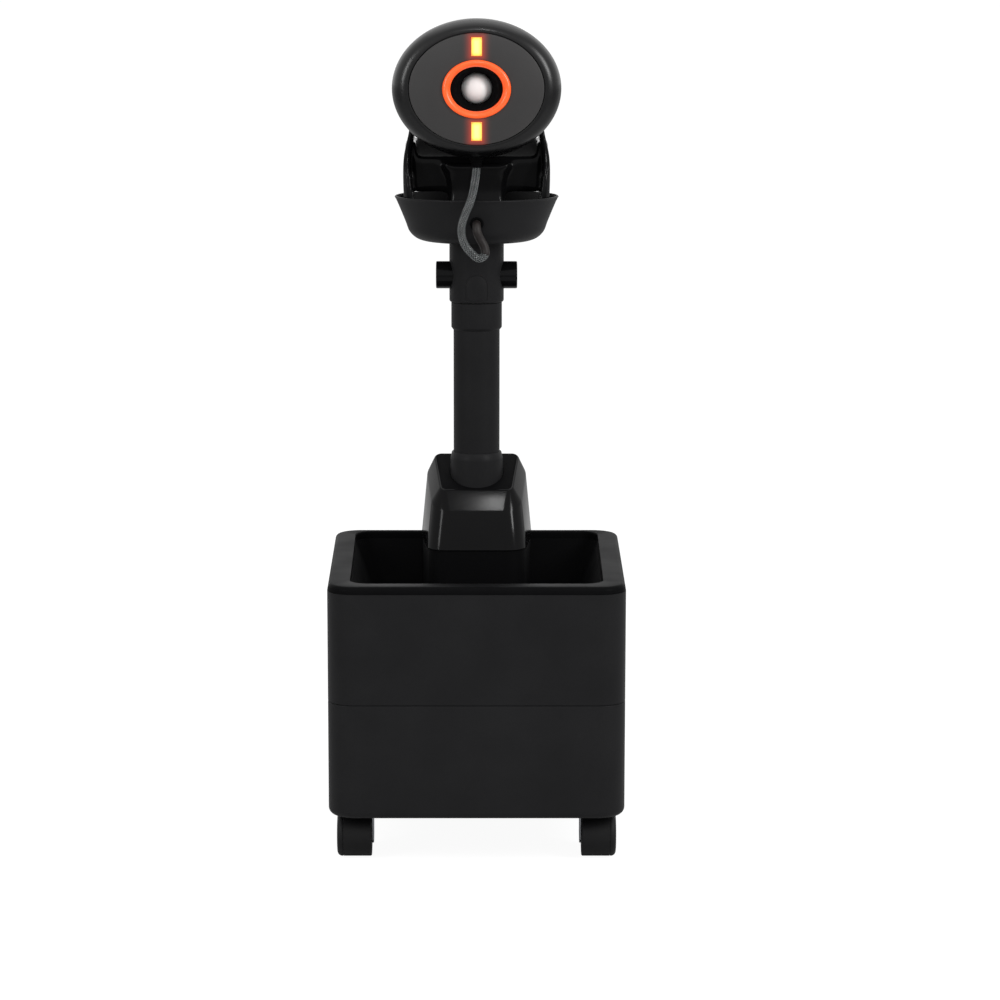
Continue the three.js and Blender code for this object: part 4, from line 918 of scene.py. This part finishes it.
def make_top_plate():
    inset = -PLATE_INSET - SEAT_GAP
    depth = PLATE_THICKNESS - SEAT_GAP
    plate = skin([sloping(TOWER_PLATE, inset, depth), sloping(TOWER_PLATE, inset, 0)])
    softened(plate, 0.5, 2)
    return carved(plate, socket_room())


def make_foot():
    outline = widened(TOWER, -CREASE_INSET)
    foot = skin([level(outline, FOOT_BOTTOM), level(outline, CREASE_HEIGHT - SEAT_GAP)])
    return softened(foot, 0.6, 2)


dressed(make_tub(), "tub", "satin_abs", "base", "base_tub")
dressed(make_upper_shell(), "bin_wall", "satin_abs", "base", "upper_shell")
dressed(make_rim(), "rim", "rim_abs", "base", "bin_rim")
dressed(make_funnel(), "funnel", "bin_polypropylene", "base", "bin_funnel")
dressed(make_foot(), "foot", "bin_polypropylene", "base", "tower_foot")
dressed(make_tower(), "tower", "gloss_abs", "base", "tower_shell", smooth=TOWER_SMOOTH_ANGLE)
dressed(make_top_plate(), "tower_lid", "bin_polypropylene", "base", "tower_top_plate")


# Feed chamber and rotor, seen down the throat
def make_rotor():
    rotor = turned([
        (SHAFT_BORE, ROTOR_BOTTOM), (ROTOR_RADIUS, ROTOR_BOTTOM), (ROTOR_RADIUS, ROTOR_TOP - 2),
        (ROTOR_RADIUS - 2, ROTOR_TOP), (20, ROTOR_TOP), (18, ROTOR_TOP - 1.5),
        (SHAFT_BORE, ROTOR_TOP - 1.5),
    ])
    placed(rotor, turn=(0, 0, HALF_FACET))
    pockets = []
    for number in range(POCKET_COUNT):
        angle = pi / 2 + 2 * pi * number / POCKET_COUNT
        pocket = rod(POCKET_RADIUS, ROTOR_BOTTOM - OVERRUN, ROTOR_TOP + OVERRUN)
        place = (POCKET_CIRCLE * cos(angle), POCKET_CIRCLE * sin(angle), 0)
        pockets.append(placed(turned(pocket, SMALL_SIDES), place))
    return placed(softened(carved(rotor, *pockets), 0.8), (0, CHAMBER_Y, 0))


def make_chamber():
    outer = CHAMBER_RADIUS + WALL
    return placed(turned([
        (SHAFT_BORE, CHAMBER_FLOOR), (outer - 3, CHAMBER_FLOOR), (outer, CHAMBER_FLOOR + 3),
        (outer, CHAMBER_TOP), (CHAMBER_RADIUS, CHAMBER_TOP),
        (CHAMBER_RADIUS, CHAMBER_FLOOR + WALL + 2), (CHAMBER_RADIUS - 2, CHAMBER_FLOOR + WALL),
        (SHAFT_BORE, CHAMBER_FLOOR + WALL),
    ]), (0, CHAMBER_Y, 0))


dressed(make_rotor(), "rotor_disc", "dark_nylon", "rotor", "feed_rotor")
dressed(make_chamber(), "chamber_cup", "bin_polypropylene", "base", "feed_chamber")


# Wheels: a smooth tyre with a moulding line round its shoulder, on a dished hub
def tyre_rows(radius, width, hub, edge):
    """A tyre from its inner face to its outer one, with a rounded outer edge."""
    rows = [(hub, 0.8), (hub + 0.8, 0), (radius - 1, 0), (radius, 1)]
    line = width - edge - 1.4
    bottom = radius - MOULDING_LINE
    rows += [(radius, line - 0.6), (bottom, line - 0.2), (bottom, line + 0.2), (radius, line + 0.6)]
    rows += [(radius - edge * a, width - edge * (1 - b)) for a, b in rounding(8)]
    return rows + [(hub + 0.8, width), (hub, width - 0.8)]


def hub_rows(hub, width):
    """A hub with a dished outer face and a raised rim round its bore."""
    bore, dish = WHEEL_BORE, width * HUB_DISH
    return [
        (bore, 0.6), (hub - 3, 0.6), (hub - 2.2, 0.2), (hub, 0.2), (hub, width - 0.6),
        (hub - 0.4, width - 0.2), (hub - 2.6, width - 0.2), (hub - 3.4, width - dish),
        (bore + 4.6, width - dish), (bore + 4, width - 1.2), (bore + 3.4, width - 0.6),
        (bore, width - 0.6),
    ]


for side, sign in (("left", -1), ("right", 1)):
    at = (sign * (WHEEL_OUTER_X - WHEEL_WIDTH), WHEEL_Y, WHEEL_RADIUS)
    tyre = along_x(tyre_rows(WHEEL_RADIUS, WHEEL_WIDTH, WHEEL_HUB, WHEEL_EDGE), at, SIDES, sign)
    hub = along_x(hub_rows(WHEEL_HUB - HUB_GAP, WHEEL_WIDTH), at, SMALL_SIDES, sign)
    dressed(tyre, f"tyre_{side}", "black_rubber", f"wheel_{side}", f"front_wheel_{side}")
    dressed(hub, f"wheel_hub_{side}", "dark_nylon", f"wheel_{side}")
    at = (sign * CASTER_X - CASTER_WIDTH / 2, CASTER_Y + CASTER_TRAIL, CASTER_RADIUS)
    tyre = along_x(tyre_rows(CASTER_RADIUS, CASTER_WIDTH, CASTER_HUB, CASTER_EDGE), at, SIDES)
    hub = along_x(hub_rows(CASTER_HUB - HUB_GAP, CASTER_WIDTH), at, SMALL_SIDES)
    dressed(tyre, f"caster_tyre_{side}", "black_rubber", f"caster_{side}", f"caster_wheel_{side}")
    dressed(hub, f"caster_hub_{side}", "dark_nylon", f"caster_{side}")
    for node, body in ((f"front_bracket_{side}", "base"), (f"caster_plate_{side}", "base"),
                       (f"caster_fork_{side}", f"fork_{side}")):
        dressed(copied(node, PLATED_EDGE), f"{node}_plated", "zinc_steel", body, node)


# Column
def through_x(radius, reach):
    """A cylinder through both button holes."""
    return along_x(rod(radius, -reach, reach), (0, COLUMN_Y, BUTTON_HEIGHT))


def arch(margin, front, back):
    """The key's arch in the XZ plane, from the front to the back of the collar's wall."""
    half, middle = KEY_HALF + margin, KEY_TOP - KEY_HALF
    edge = [(-half, KEY_BOTTOM - margin), (half, KEY_BOTTOM - margin)]
    turns = [pi * step / ARCH_STEPS for step in range(ARCH_STEPS + 1)]
    edge += [(half * cos(turn), middle + half * sin(turn)) for turn in turns]
    return skin([[(x, COLUMN_Y + y, z) for x, z in edge] for y in (front, back)])


bore = TUBE_OUTER + SEAT_GAP
ball_bore = BALL_TUBE_OUTER + SEAT_GAP
socket_rows = [
    (ball_bore, 354), (44.4, 354), (45, 354.6), (45, 359.4), (44.4, 360), (35.7, 360),
    (SOCKET_OUTER, 361.2), (SOCKET_OUTER, 465), (34.3, 466.6), (32.5, 474.2), (31.8, 475),
    (bore, 475), (bore, 357), (ball_bore, 357),
]
dressed(on_column(socket_rows), "lower_collar", "satin_abs", "base", "bottom_collar")
tube_rows = [
    (TUBE_INNER, TUBE_BOTTOM), (TUBE_OUTER, TUBE_BOTTOM), (TUBE_OUTER, TUBE_TOP),
    (TUBE_INNER, TUBE_TOP),
]
tube = carved(on_column(tube_rows), through_x(BUTTON_RADIUS + 0.6, COLLAR_RADIUS))
dressed(tube, "tube", "satin_abs", "base", "main_tube")
sleeve_rows = [
    (bore, SLEEVE_BOTTOM), (bore + 0.3, SLEEVE_BOTTOM), (32.6, SLEEVE_BOTTOM + 2.4),
    (SLEEVE_RADIUS, SLEEVE_BOTTOM + 3.4), (SLEEVE_RADIUS, SLEEVE_TOP - 0.5),
    (SLEEVE_RADIUS - 0.5, SLEEVE_TOP), (bore, SLEEVE_TOP),
]
dressed(on_column(sleeve_rows), "tube_sleeve", "satin_abs", "base", "column_sleeve")
collar_rows = [
    (bore, COLLAR_BOTTOM), (33.2, COLLAR_BOTTOM), (34.4, COLLAR_BOTTOM + 0.5),
    (35.2, COLLAR_BOTTOM + 1.6), (COLLAR_RADIUS, COLLAR_BOTTOM + 2.6),
    (COLLAR_RADIUS, COLLAR_TOP - 0.5), (COLLAR_RADIUS - 0.5, COLLAR_TOP), (24.5, COLLAR_TOP),
    (24.5, 746.4), (bore, 746.4),
]
collar = carved(
    on_column(collar_rows), through_x(BUTTON_RADIUS + SEAT_GAP, COLLAR_RADIUS + OVERRUN),
    arch(SEAT_GAP, -COLLAR_RADIUS - OVERRUN, -bore / 2),
)
softened(collar, 0.35, 2, FINE_EDGE_ANGLE)
dressed(collar, "release_collar", "satin_abs", "collar", "upper_collar")
key_rows = [(KEY_INNER, 668), (COLLAR_RADIUS, 668), (COLLAR_RADIUS, 716), (KEY_INNER, 716)]
key = carved(
    on_column(key_rows), arch(0, -COLLAR_RADIUS - OVERRUN, -KEY_INNER / 2), operation="INTERSECT",
)
softened(key, 0.5, EDGE_STEPS, FINE_EDGE_ANGLE)
dressed(key, "release_key", "satin_abs", "key", "front_key")
for side, sign in (("left", -1), ("right", 1)):
    button = along_x([
        (0, BUTTON_INNER_X), (BUTTON_RADIUS, BUTTON_INNER_X), (BUTTON_RADIUS, 51.3), (17.5, 52.2),
        (16.8, 52.7), (15.8, BUTTON_OUTER_X), (13.5, BUTTON_OUTER_X), (11, 52.2), (6, 51.8),
        (0, 51.7),
    ], (0, COLUMN_Y, BUTTON_HEIGHT), SMALL_SIDES, sign)
    dressed(button, f"push_button_{side}", "gloss_abs", f"button_{side}", f"side_button_{side}")


# Tray
def bowl(draw, bottom, lift, top, steps):
    """The tray's side in section from a bottom up to a top, drawn in from the rim."""
    depth = TRAY_RIM_HEIGHT - bottom
    rows = [(r * TRAY_RIM_RADIUS - draw, bottom + h * depth + lift) for r, h in TRAY_SHARES]
    return curve_through([*rows, (TRAY_RIM_RADIUS - draw, top)], steps)


def make_tray():
    radius, top = TRAY_RIM_RADIUS, TRAY_RIM_HEIGHT
    outside = bowl(0, TRAY_BOTTOM, 0, top - 1.6, 5)
    lip = [(radius - 1.5 * a, top - 1.5 * (1 - b)) for a, b in rounding(6)]
    lip += [(radius - 3 + 0.6 * (1 - b), top - 0.6 * a) for a, b in rounding(4)]
    inside = bowl(TRAY_WALL, TRAY_FLOOR, 0, top - 0.8, 5)[:-1]
    rows = [(TRAY_HOLE, TRAY_BOTTOM), *outside, *lip[1:], *inside[::-1], (TRAY_HOLE, TRAY_FLOOR)]
    hole = rod(CABLE_HOLE_RADIUS + SEAT_GAP, *CABLE_HOLE_CUT)
    hole = along_y(hole, (0, COLUMN_Y, CABLE_HOLE_HEIGHT))
    return carved(on_column(rows), hole)


dressed(make_tray(), "tray_bowl", "satin_abs", "carrier", "tray")
grommet_rows = [
    (5.6, 0), (7.9, 0), (CABLE_HOLE_RADIUS, 0.7), (CABLE_HOLE_RADIUS, GROMMET_LENGTH - 1),
    (7.8, GROMMET_LENGTH), (3.9, GROMMET_LENGTH), (3.5, GROMMET_LENGTH - 0.6), (3.5, 1.6),
    (4.2, 0.6),
]
grommet = along_y(grommet_rows, (0, COLUMN_Y + GROMMET_FRONT, CABLE_HOLE_HEIGHT), 1)
dressed(grommet, "grommet", "bin_polypropylene", "carrier", "tray_grommet")


# Cradle: pedestal, saddle and ears blown together, then hollowed by the sweep of the head
def make_ear(side):
    rows = []
    for rise, inner, outer, front, back in curve_through(EAR_SHARES, 8):
        x0, x1 = side * inner * EAR_OUTER_X, side * outer * EAR_OUTER_X
        y0, y1 = COLUMN_Y - front * EAR_DEPTH, COLUMN_Y + back * EAR_DEPTH
        outline = rounded([(x0, y0), (x1, y0), (x1, y1), (x0, y1)], EAR_CORNER, 4)
        rows.append(level(outline, EAR_BOTTOM + rise * (EAR_TOP - EAR_BOTTOM)))
    return skin(rows)


def tray_room():
    """The space inside the tray, and all that is above it."""
    draw = TRAY_WALL + 2 * SEAT_GAP
    rows = bowl(draw, TRAY_FLOOR, SEAT_GAP, TRAY_RIM_HEIGHT, 4)
    rows += [(TRAY_RIM_RADIUS - draw, TRAY_ROOM_TOP), (0, TRAY_ROOM_TOP)]
    return on_column([(0, TRAY_FLOOR + SEAT_GAP), *rows])


def sweep_cylinder(radius):
    """What the nodding head sweeps between the ears."""
    return along_x(rod(radius, -EAR_INNER_X, EAR_INNER_X), HEAD_CENTRE, SIDES)


def make_cradle():
    half, front, back, corner, low, high = SADDLE
    saddle = trapezoid(half, half, COLUMN_Y - front, COLUMN_Y + back, corner)
    body = skin([level(saddle, low), level(saddle, high)])
    rows = []
    for height, wide, deep in curve_through(PEDESTAL_ROWS, 6):
        outline = trapezoid(wide, wide, COLUMN_Y - deep, COLUMN_Y + PEDESTAL_BACK, PEDESTAL_CORNER)
        rows.append(level(outline, height))
    carved(body, skin(rows), operation="UNION")
    carved(body, disc(*CRADLE_FOOT), operation="UNION")
    front_sweep = sweep_cylinder(FRONT_SWEEP_RADIUS)
    reach, far, bottom, top = FRONT_SWEEP_SPACE
    ahead = block((-reach, COLUMN_Y - far, bottom), (reach, COLUMN_Y - front, top))
    carved(front_sweep, ahead, operation="INTERSECT")
    carved(body, sweep_cylinder(SWEEP_RADIUS), front_sweep)
    blown(body, PEDESTAL_VOXEL, PEDESTAL_SMOOTHING)
    carved(body, disc(*CRADLE_NECK), make_ear(1), make_ear(-1), operation="UNION")
    carved(body, tray_room(), operation="INTERSECT")
    carved(body, *[disc(*room) for room in COLUMN_ROOMS])
    for room in PINION_ROOMS:
        carved(body, placed(turned(rod(*room), SMALL_SIDES), (0, COLUMN_Y + PINION_BEHIND, 0)))
    carved(body, along_x(rod(PIN_ROOM, -EAR_CUT, EAR_CUT), HEAD_CENTRE))
    return blown(body, CRADLE_VOXEL, CRADLE_SMOOTHING)


def blown(obj, voxel, smoothing):
    """Melts the joined pieces into one skin and rounds what is sharp."""
    modified(obj, "REMESH", mode="VOXEL", voxel_size=voxel * MM)
    return modified(obj, "SMOOTH", factor=0.5, iterations=smoothing)


cradle = make_cradle()
dressed(cradle, "cradle_shell", "gloss_abs", "carrier", "cradle", smooth=CRADLE_SMOOTH_ANGLE)
# Painted shade: its hollow under the head gets the darker, duller finish of the bin's inside,
# standing for the shade there
cradle.data.materials.append(finishes["bin_polypropylene"])
for face in cradle.data.polygons:
    x, y, z = Vector(face.center) / MM - Vector(HEAD_CENTRE)
    if abs(x) < EAR_INNER_X + 1 and hypot(y, z) < SWEEP_RADIUS + CRADLE_VOXEL:
        face.material_index = 1


# Head: fat oval rim, domed rear shell, face with its lit ring and bars
def make_front_shell():
    outer = [
        (71.6, 95.7), (74.6, 95.2), (80, 92), (84, 86.4), (86.6, 78.5), (88, 68), (86.7, 56),
        (82.4, 46.2), (76.5, 42),
    ]
    rows = [(70.4, 92.6), (70.4, 94.6), (70.8, 95.5), *curve_through(outer, 6)]
    return forward([*rows, (73, 42), (83.2, 62.4), (82, 82), (70.4, 90)], HEAD_STRETCH)


def dome_rows(margin, front):
    """The rear dome's profile, drawn in by a margin."""
    depth = FLANGE_FRONT + REAR_LENGTH - margin
    rows = [
        (r * REAR_RADIUS - margin if r else 0, FLANGE_FRONT - share * depth)
        for r, share in REAR_SHARES
    ]
    bulge = curve_through(rows, 5)
    return [(0, front), (bulge[0][0], front), *[(max(r, 0), d) for r, d in bulge[1:]]]


def make_rear_shell():
    shell = forward(dome_rows(0, FLANGE_FRONT - 1.1), REAR_STRETCH)
    edge = FLANGE_RADIUS - 0.8
    back = FLANGE_FRONT - WALL
    flange = [
        (0, back), (edge, back), (FLANGE_RADIUS, back + 0.8),
        (FLANGE_RADIUS, FLANGE_FRONT), (0, FLANGE_FRONT),
    ]
    carved(shell, forward(flange, HEAD_STRETCH), operation="UNION")
    start = BOSS_END_X - BOSS_DEPTH
    boss = [
        (0, start), (BOSS_RADIUS, start), (BOSS_RADIUS, BOSS_END_X - 1),
        (BOSS_RADIUS - 1, BOSS_END_X), (0, BOSS_END_X),
    ]
    carved(
        shell, along_x(boss, HEAD_CENTRE), along_x(boss, HEAD_CENTRE, SMALL_SIDES, -1),
        operation="UNION",
    )
    carved(shell, forward(dome_rows(WALL, FLANGE_FRONT + OVERRUN), REAR_STRETCH))
    elbow_hole = disc(*ELBOW_HOLE, SMALL_SIDES)
    pin_hole = along_x(rod(PIN_ROOM, -BOSS_CUT, BOSS_CUT), HEAD_CENTRE)
    vents = []
    for number in range(VENT_COUNT):
        offset = (number - (VENT_COUNT - 1) / 2) * VENT_PITCH
        reach = sqrt(1 - (offset / VENT_CIRCLE) ** 2) * VENT_REACH
        low = (-reach, COLUMN_Y + VENT_CUT[0], PIVOT_HEIGHT + offset - VENT_HALF)
        high = (reach, COLUMN_Y + VENT_CUT[1], PIVOT_HEIGHT + offset + VENT_HALF)
        vents.append(block(low, high, VENT_CORNER))
    return softened(carved(shell, elbow_hole, pin_hole, *vents), 0.4, 2, FINE_EDGE_ANGLE)


def make_face():
    face = forward([
        (0, FACE_BACK), (FACE_RADIUS, FACE_BACK), (FACE_RADIUS, FACE_FRONT - 1.3),
        (FACE_RADIUS - 0.4, FACE_FRONT - 0.45), (FACE_RADIUS - 1.3, FACE_FRONT), (0, FACE_FRONT),
    ], HEAD_STRETCH)
    radius = RING_OUTER + SEAT_GAP
    hole = placed(turned(rod(radius, *FACE_CUT)), turn=(0, 0, HALF_FACET))
    placed(hole, HEAD_CENTRE, (90, 0, 0), RING_STRETCH)
    slots = [led_block(z, SEAT_GAP, *FACE_CUT) for z in (LED_OFFSET, -LED_OFFSET)]
    return carved(face, hole, *slots)


def led_block(offset, margin, back, front, bevel=0.0):
    """A light bar, or the room for it, at a height from the pitch axis."""
    half, reach = LED_WIDTH / 2 + margin, LED_LENGTH / 2 + margin
    middle = PIVOT_HEIGHT + offset
    return block(
        (-half, COLUMN_Y - front, middle - reach), (half, COLUMN_Y - back, middle + reach), bevel,
    )


def glow(tree, half, reach):
    """Distance in metres from the nearer light bar, measured over the face."""
    place = add(tree, "TexCoord").outputs["Object"]
    parts = add(tree, "SeparateXYZ", {"Vector": place})
    beside = maths(tree, "ABSOLUTE", parts.outputs["X"])
    above = maths(tree, "SUBTRACT", parts.outputs["Z"], PIVOT_HEIGHT * MM)
    above = maths(tree, "SUBTRACT", maths(tree, "ABSOLUTE", above), LED_OFFSET * MM)
    above = maths(tree, "ABSOLUTE", above)
    beside = maths(tree, "MAXIMUM", maths(tree, "SUBTRACT", beside, half * MM))
    above = maths(tree, "MAXIMUM", maths(tree, "SUBTRACT", above, reach * MM))
    both = add(tree, "CombineXYZ", {"X": beside, "Y": above}).outputs[0]
    return add(tree, "VectorMath", {0: both}, operation="LENGTH").outputs["Value"]


# Painted light: the light bars' warm spill, painted on the face as a glow that fades away from the
# bars
face_tree = finishes["face_lacquer"].node_tree
halo = add(face_tree, "MapRange", {
    "Value": glow(face_tree, LED_WIDTH / 2, LED_LENGTH / 2),
    "From Min": 0.0, "From Max": HALO_REACH * MM, "To Min": 1.0, "To Max": 0.0,
})
halo = maths(face_tree, "POWER", halo.outputs["Result"], HALO_FALL)
tuned("face_lacquer", {
    "Emission Color": linear("#ff4416"),
    "Emission Strength": maths(face_tree, "MULTIPLY", halo, HALO_STRENGTH),
})

# The lenses over warm light-emitting diodes: nearly white core, orange edges
led_tree = finishes["led_lens"].node_tree
led_share = add(led_tree, "MapRange", {
    "Value": glow(led_tree, LED_WIDTH / 2 - LED_EDGE, LED_LENGTH / 2 - LED_EDGE),
    "From Min": 0.0, "From Max": LED_FADE * MM,
})
led_ramp = add(led_tree, "ValToRGB", {"Fac": led_share.outputs["Result"]})
led_colours = led_ramp.color_ramp.elements
led_colours[0].color = linear("#fff2a0")
led_colours[1].color = linear("#ff7a1e")
led_colours.new(LED_MIDDLE).color = linear("#ffd860")
tuned("led_lens", {
    "Emission Color": led_ramp.outputs["Color"], "Emission Strength": LED_STRENGTH,
})

dressed(make_front_shell(), "head_rim", "head_abs", "head", "head_front_shell")
dressed(make_rear_shell(), "head_dome", "head_abs", "head", "head_rear_shell")
dressed(make_face(), "face", "face_lacquer", "head", "face_plate")
ring_crest = [
    (RING_OUTER, 96.6), (35.6, 98.8), (33.2, 100), (30.9, 98.9), (29.2, 96.6), (RING_INNER, 93.7),
]
ring_rows = [(RING_INNER, FACE_BACK), (RING_OUTER, FACE_BACK), *curve_through(ring_crest, 5)]
ring = forward(ring_rows, RING_STRETCH)
dressed(ring, "lit_ring", "ring_polycarbonate", "head", "muzzle_ring")
for place, offset in (("upper", LED_OFFSET), ("lower", -LED_OFFSET)):
    bar = led_block(offset, 0, FACE_BACK + SEAT_GAP, FACE_FRONT + SEAT_GAP, 0.5)
    dressed(bar, f"light_{place}", "led_lens", "head", f"led_bar_{place}")
muzzle_rows = [
    (28, 92.2), (43.4, 92.2), (44, 91.6), (44, 89.2), (31, 89.2), (23, 78), (23, 66), (20.6, 66),
    *curve_through([(20.6, 70), (20.7, 76), (22.4, 80.5), (25.4, 86), (28, 92.2)], 5)[:-1],
]
dressed(forward(muzzle_rows), "muzzle", "bin_polypropylene", "head", "muzzle_tube")

# Ball: two moulded halves with a fine seam
ball_rows = []
for step in range(BALL_STEPS + 1):
    angle = pi * step / BALL_STEPS
    seam = BALL_SEAM if step == BALL_STEPS / 2 else 0.0
    ball_rows.append(((BALL_RADIUS - seam) * sin(angle), -BALL_RADIUS * cos(angle)))
ball = placed(turned(ball_rows), (0, COLUMN_Y - BALL_FORWARD, PIVOT_HEIGHT), BALL_TURN)
dressed(ball, "ball", "ball_plastic", "ball", "ready_ball", smooth=BALL_SMOOTH_ANGLE)

# Pins in the ears
for side in ("left", "right"):
    pin = copied(f"pitch_pin_{side}", 0.4)
    dressed(pin, f"pin_{side}", "zinc_steel", "carrier", f"pitch_pin_{side}")

# Switch and charge socket on the back
dressed(copied("power_switch", 0.5), "rocker_switch", "gloss_abs", "rocker", "power_switch")
socket_place = (PANEL_X, BODY[3] - SOCKET_SINK, PANEL_HEIGHT)
socket = along_y([
    (4, 0), (8, 0), (8, 15), (9.6, 15.4), (10, 16), (9.6, 17), (8.8, 17.4), (5, 17.4), (4.2, 16.8),
    (4, 16),
], socket_place, 1)
socket_pin = along_y([(0, 0), (1, 0), (1, 12), (0.6, 12.8), (0, 13)], socket_place, 1)
dressed(socket, "power_inlet", "bin_polypropylene", "base", "charge_socket")
dressed(socket_pin, "power_inlet_pin", "zinc_steel", "base")

# Fine copper lines under the board's mask
board_tree = finishes["board_mask"].node_tree
board_lines = add(board_tree, "TexBrick", {
    "Vector": add(board_tree, "TexCoord").outputs["Object"],
    "Scale": 1 / (TRACK_PITCH * MM), "Mortar Size": 0.02,
    "Color1": linear("#1d5b3a"), "Color2": linear("#1a5335"), "Mortar": linear("#3a8a55"),
})
tuned("board_mask", {"Base Color": board_lines.outputs["Color"]})

# The solids that stay, all inside the housings
for kind, names in (
    ("white_nylon", ("rotor_gear", "yaw_gear")),
    ("zinc_steel", ("feed_pinion", "feed_motor", "yaw_pinion", "yaw_motor", "pitch_pinion",
                    "pitch_motor", "throw_frame", "throw_motor_upper", "throw_motor_lower")),
    ("throw_rubber", ("throw_wheel_upper", "throw_wheel_lower")),
    ("dark_nylon", ("feed_elbow", "ball_tube")),
    ("battery_film", ("battery_pack",)),
    ("board_mask", ("control_board",)),
):
    for name in names:
        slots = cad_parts[name].data.materials
        slots.clear()
        slots.append(finishes[kind])

# Studio: white floor and surround, soft boxes left and right, lamps overhead
fresh()
bpy.ops.mesh.primitive_plane_add(size=FLOOR_SIZE)
floor = bpy.context.object
floor.name = "floor"
paper = bpy.data.materials.new("paper_floor")
paper.use_nodes = True
paper_tree = paper.node_tree
paper_shader = plug(paper_tree, paper_tree.nodes["Principled BSDF"], {
    "Base Color": linear("#e8e8e8"), "Roughness": 0.9, "Specular IOR Level": 0.1,
})
paper_light = add(paper_tree, "LightPath").outputs["Is Camera Ray"]
paper_white = add(paper_tree, "Emission", {"Color": WHITE, "Strength": PAPER_WHITE})
paper_share = maths(paper_tree, "MULTIPLY", paper_light, PAPER_SHARE)
shown(paper_tree, "Material Output", paper_share, paper_shader, paper_white)
floor.data.materials.append(paper)

world = bpy.data.worlds.new("studio")
world.use_nodes = True
bpy.context.scene.world = world
world_tree = world.node_tree
world_light = plug(world_tree, world_tree.nodes["Background"], {
    "Color": WHITE, "Strength": WORLD_LIGHT,
})
world_back = add(world_tree, "Background", {"Color": WHITE, "Strength": 1.0})
rays = add(world_tree, "LightPath").outputs
seen = maths(world_tree, "MAXIMUM", rays["Is Camera Ray"], rays["Is Glossy Ray"])
seen = maths(world_tree, "MAXIMUM", seen, rays["Is Transmission Ray"])
shown(world_tree, "World Output", seen, world_light, world_back)

for name, place, watts, size in LAMPS:
    lamp = linked(name, bpy.data.lights.new(name, "AREA"))
    lamp.data.shape = "RECTANGLE"
    lamp.data.size, lamp.data.size_y = size
    lamp.data.energy = watts
    lamp.location = place
    aim = Vector(LAMP_AIM) - Vector(place)
    lamp.rotation_euler = aim.to_track_quat("-Z", "Y").to_euler()

bpy.context.scene.view_settings.view_transform = "Standard"
bpy.context.view_layer.update()
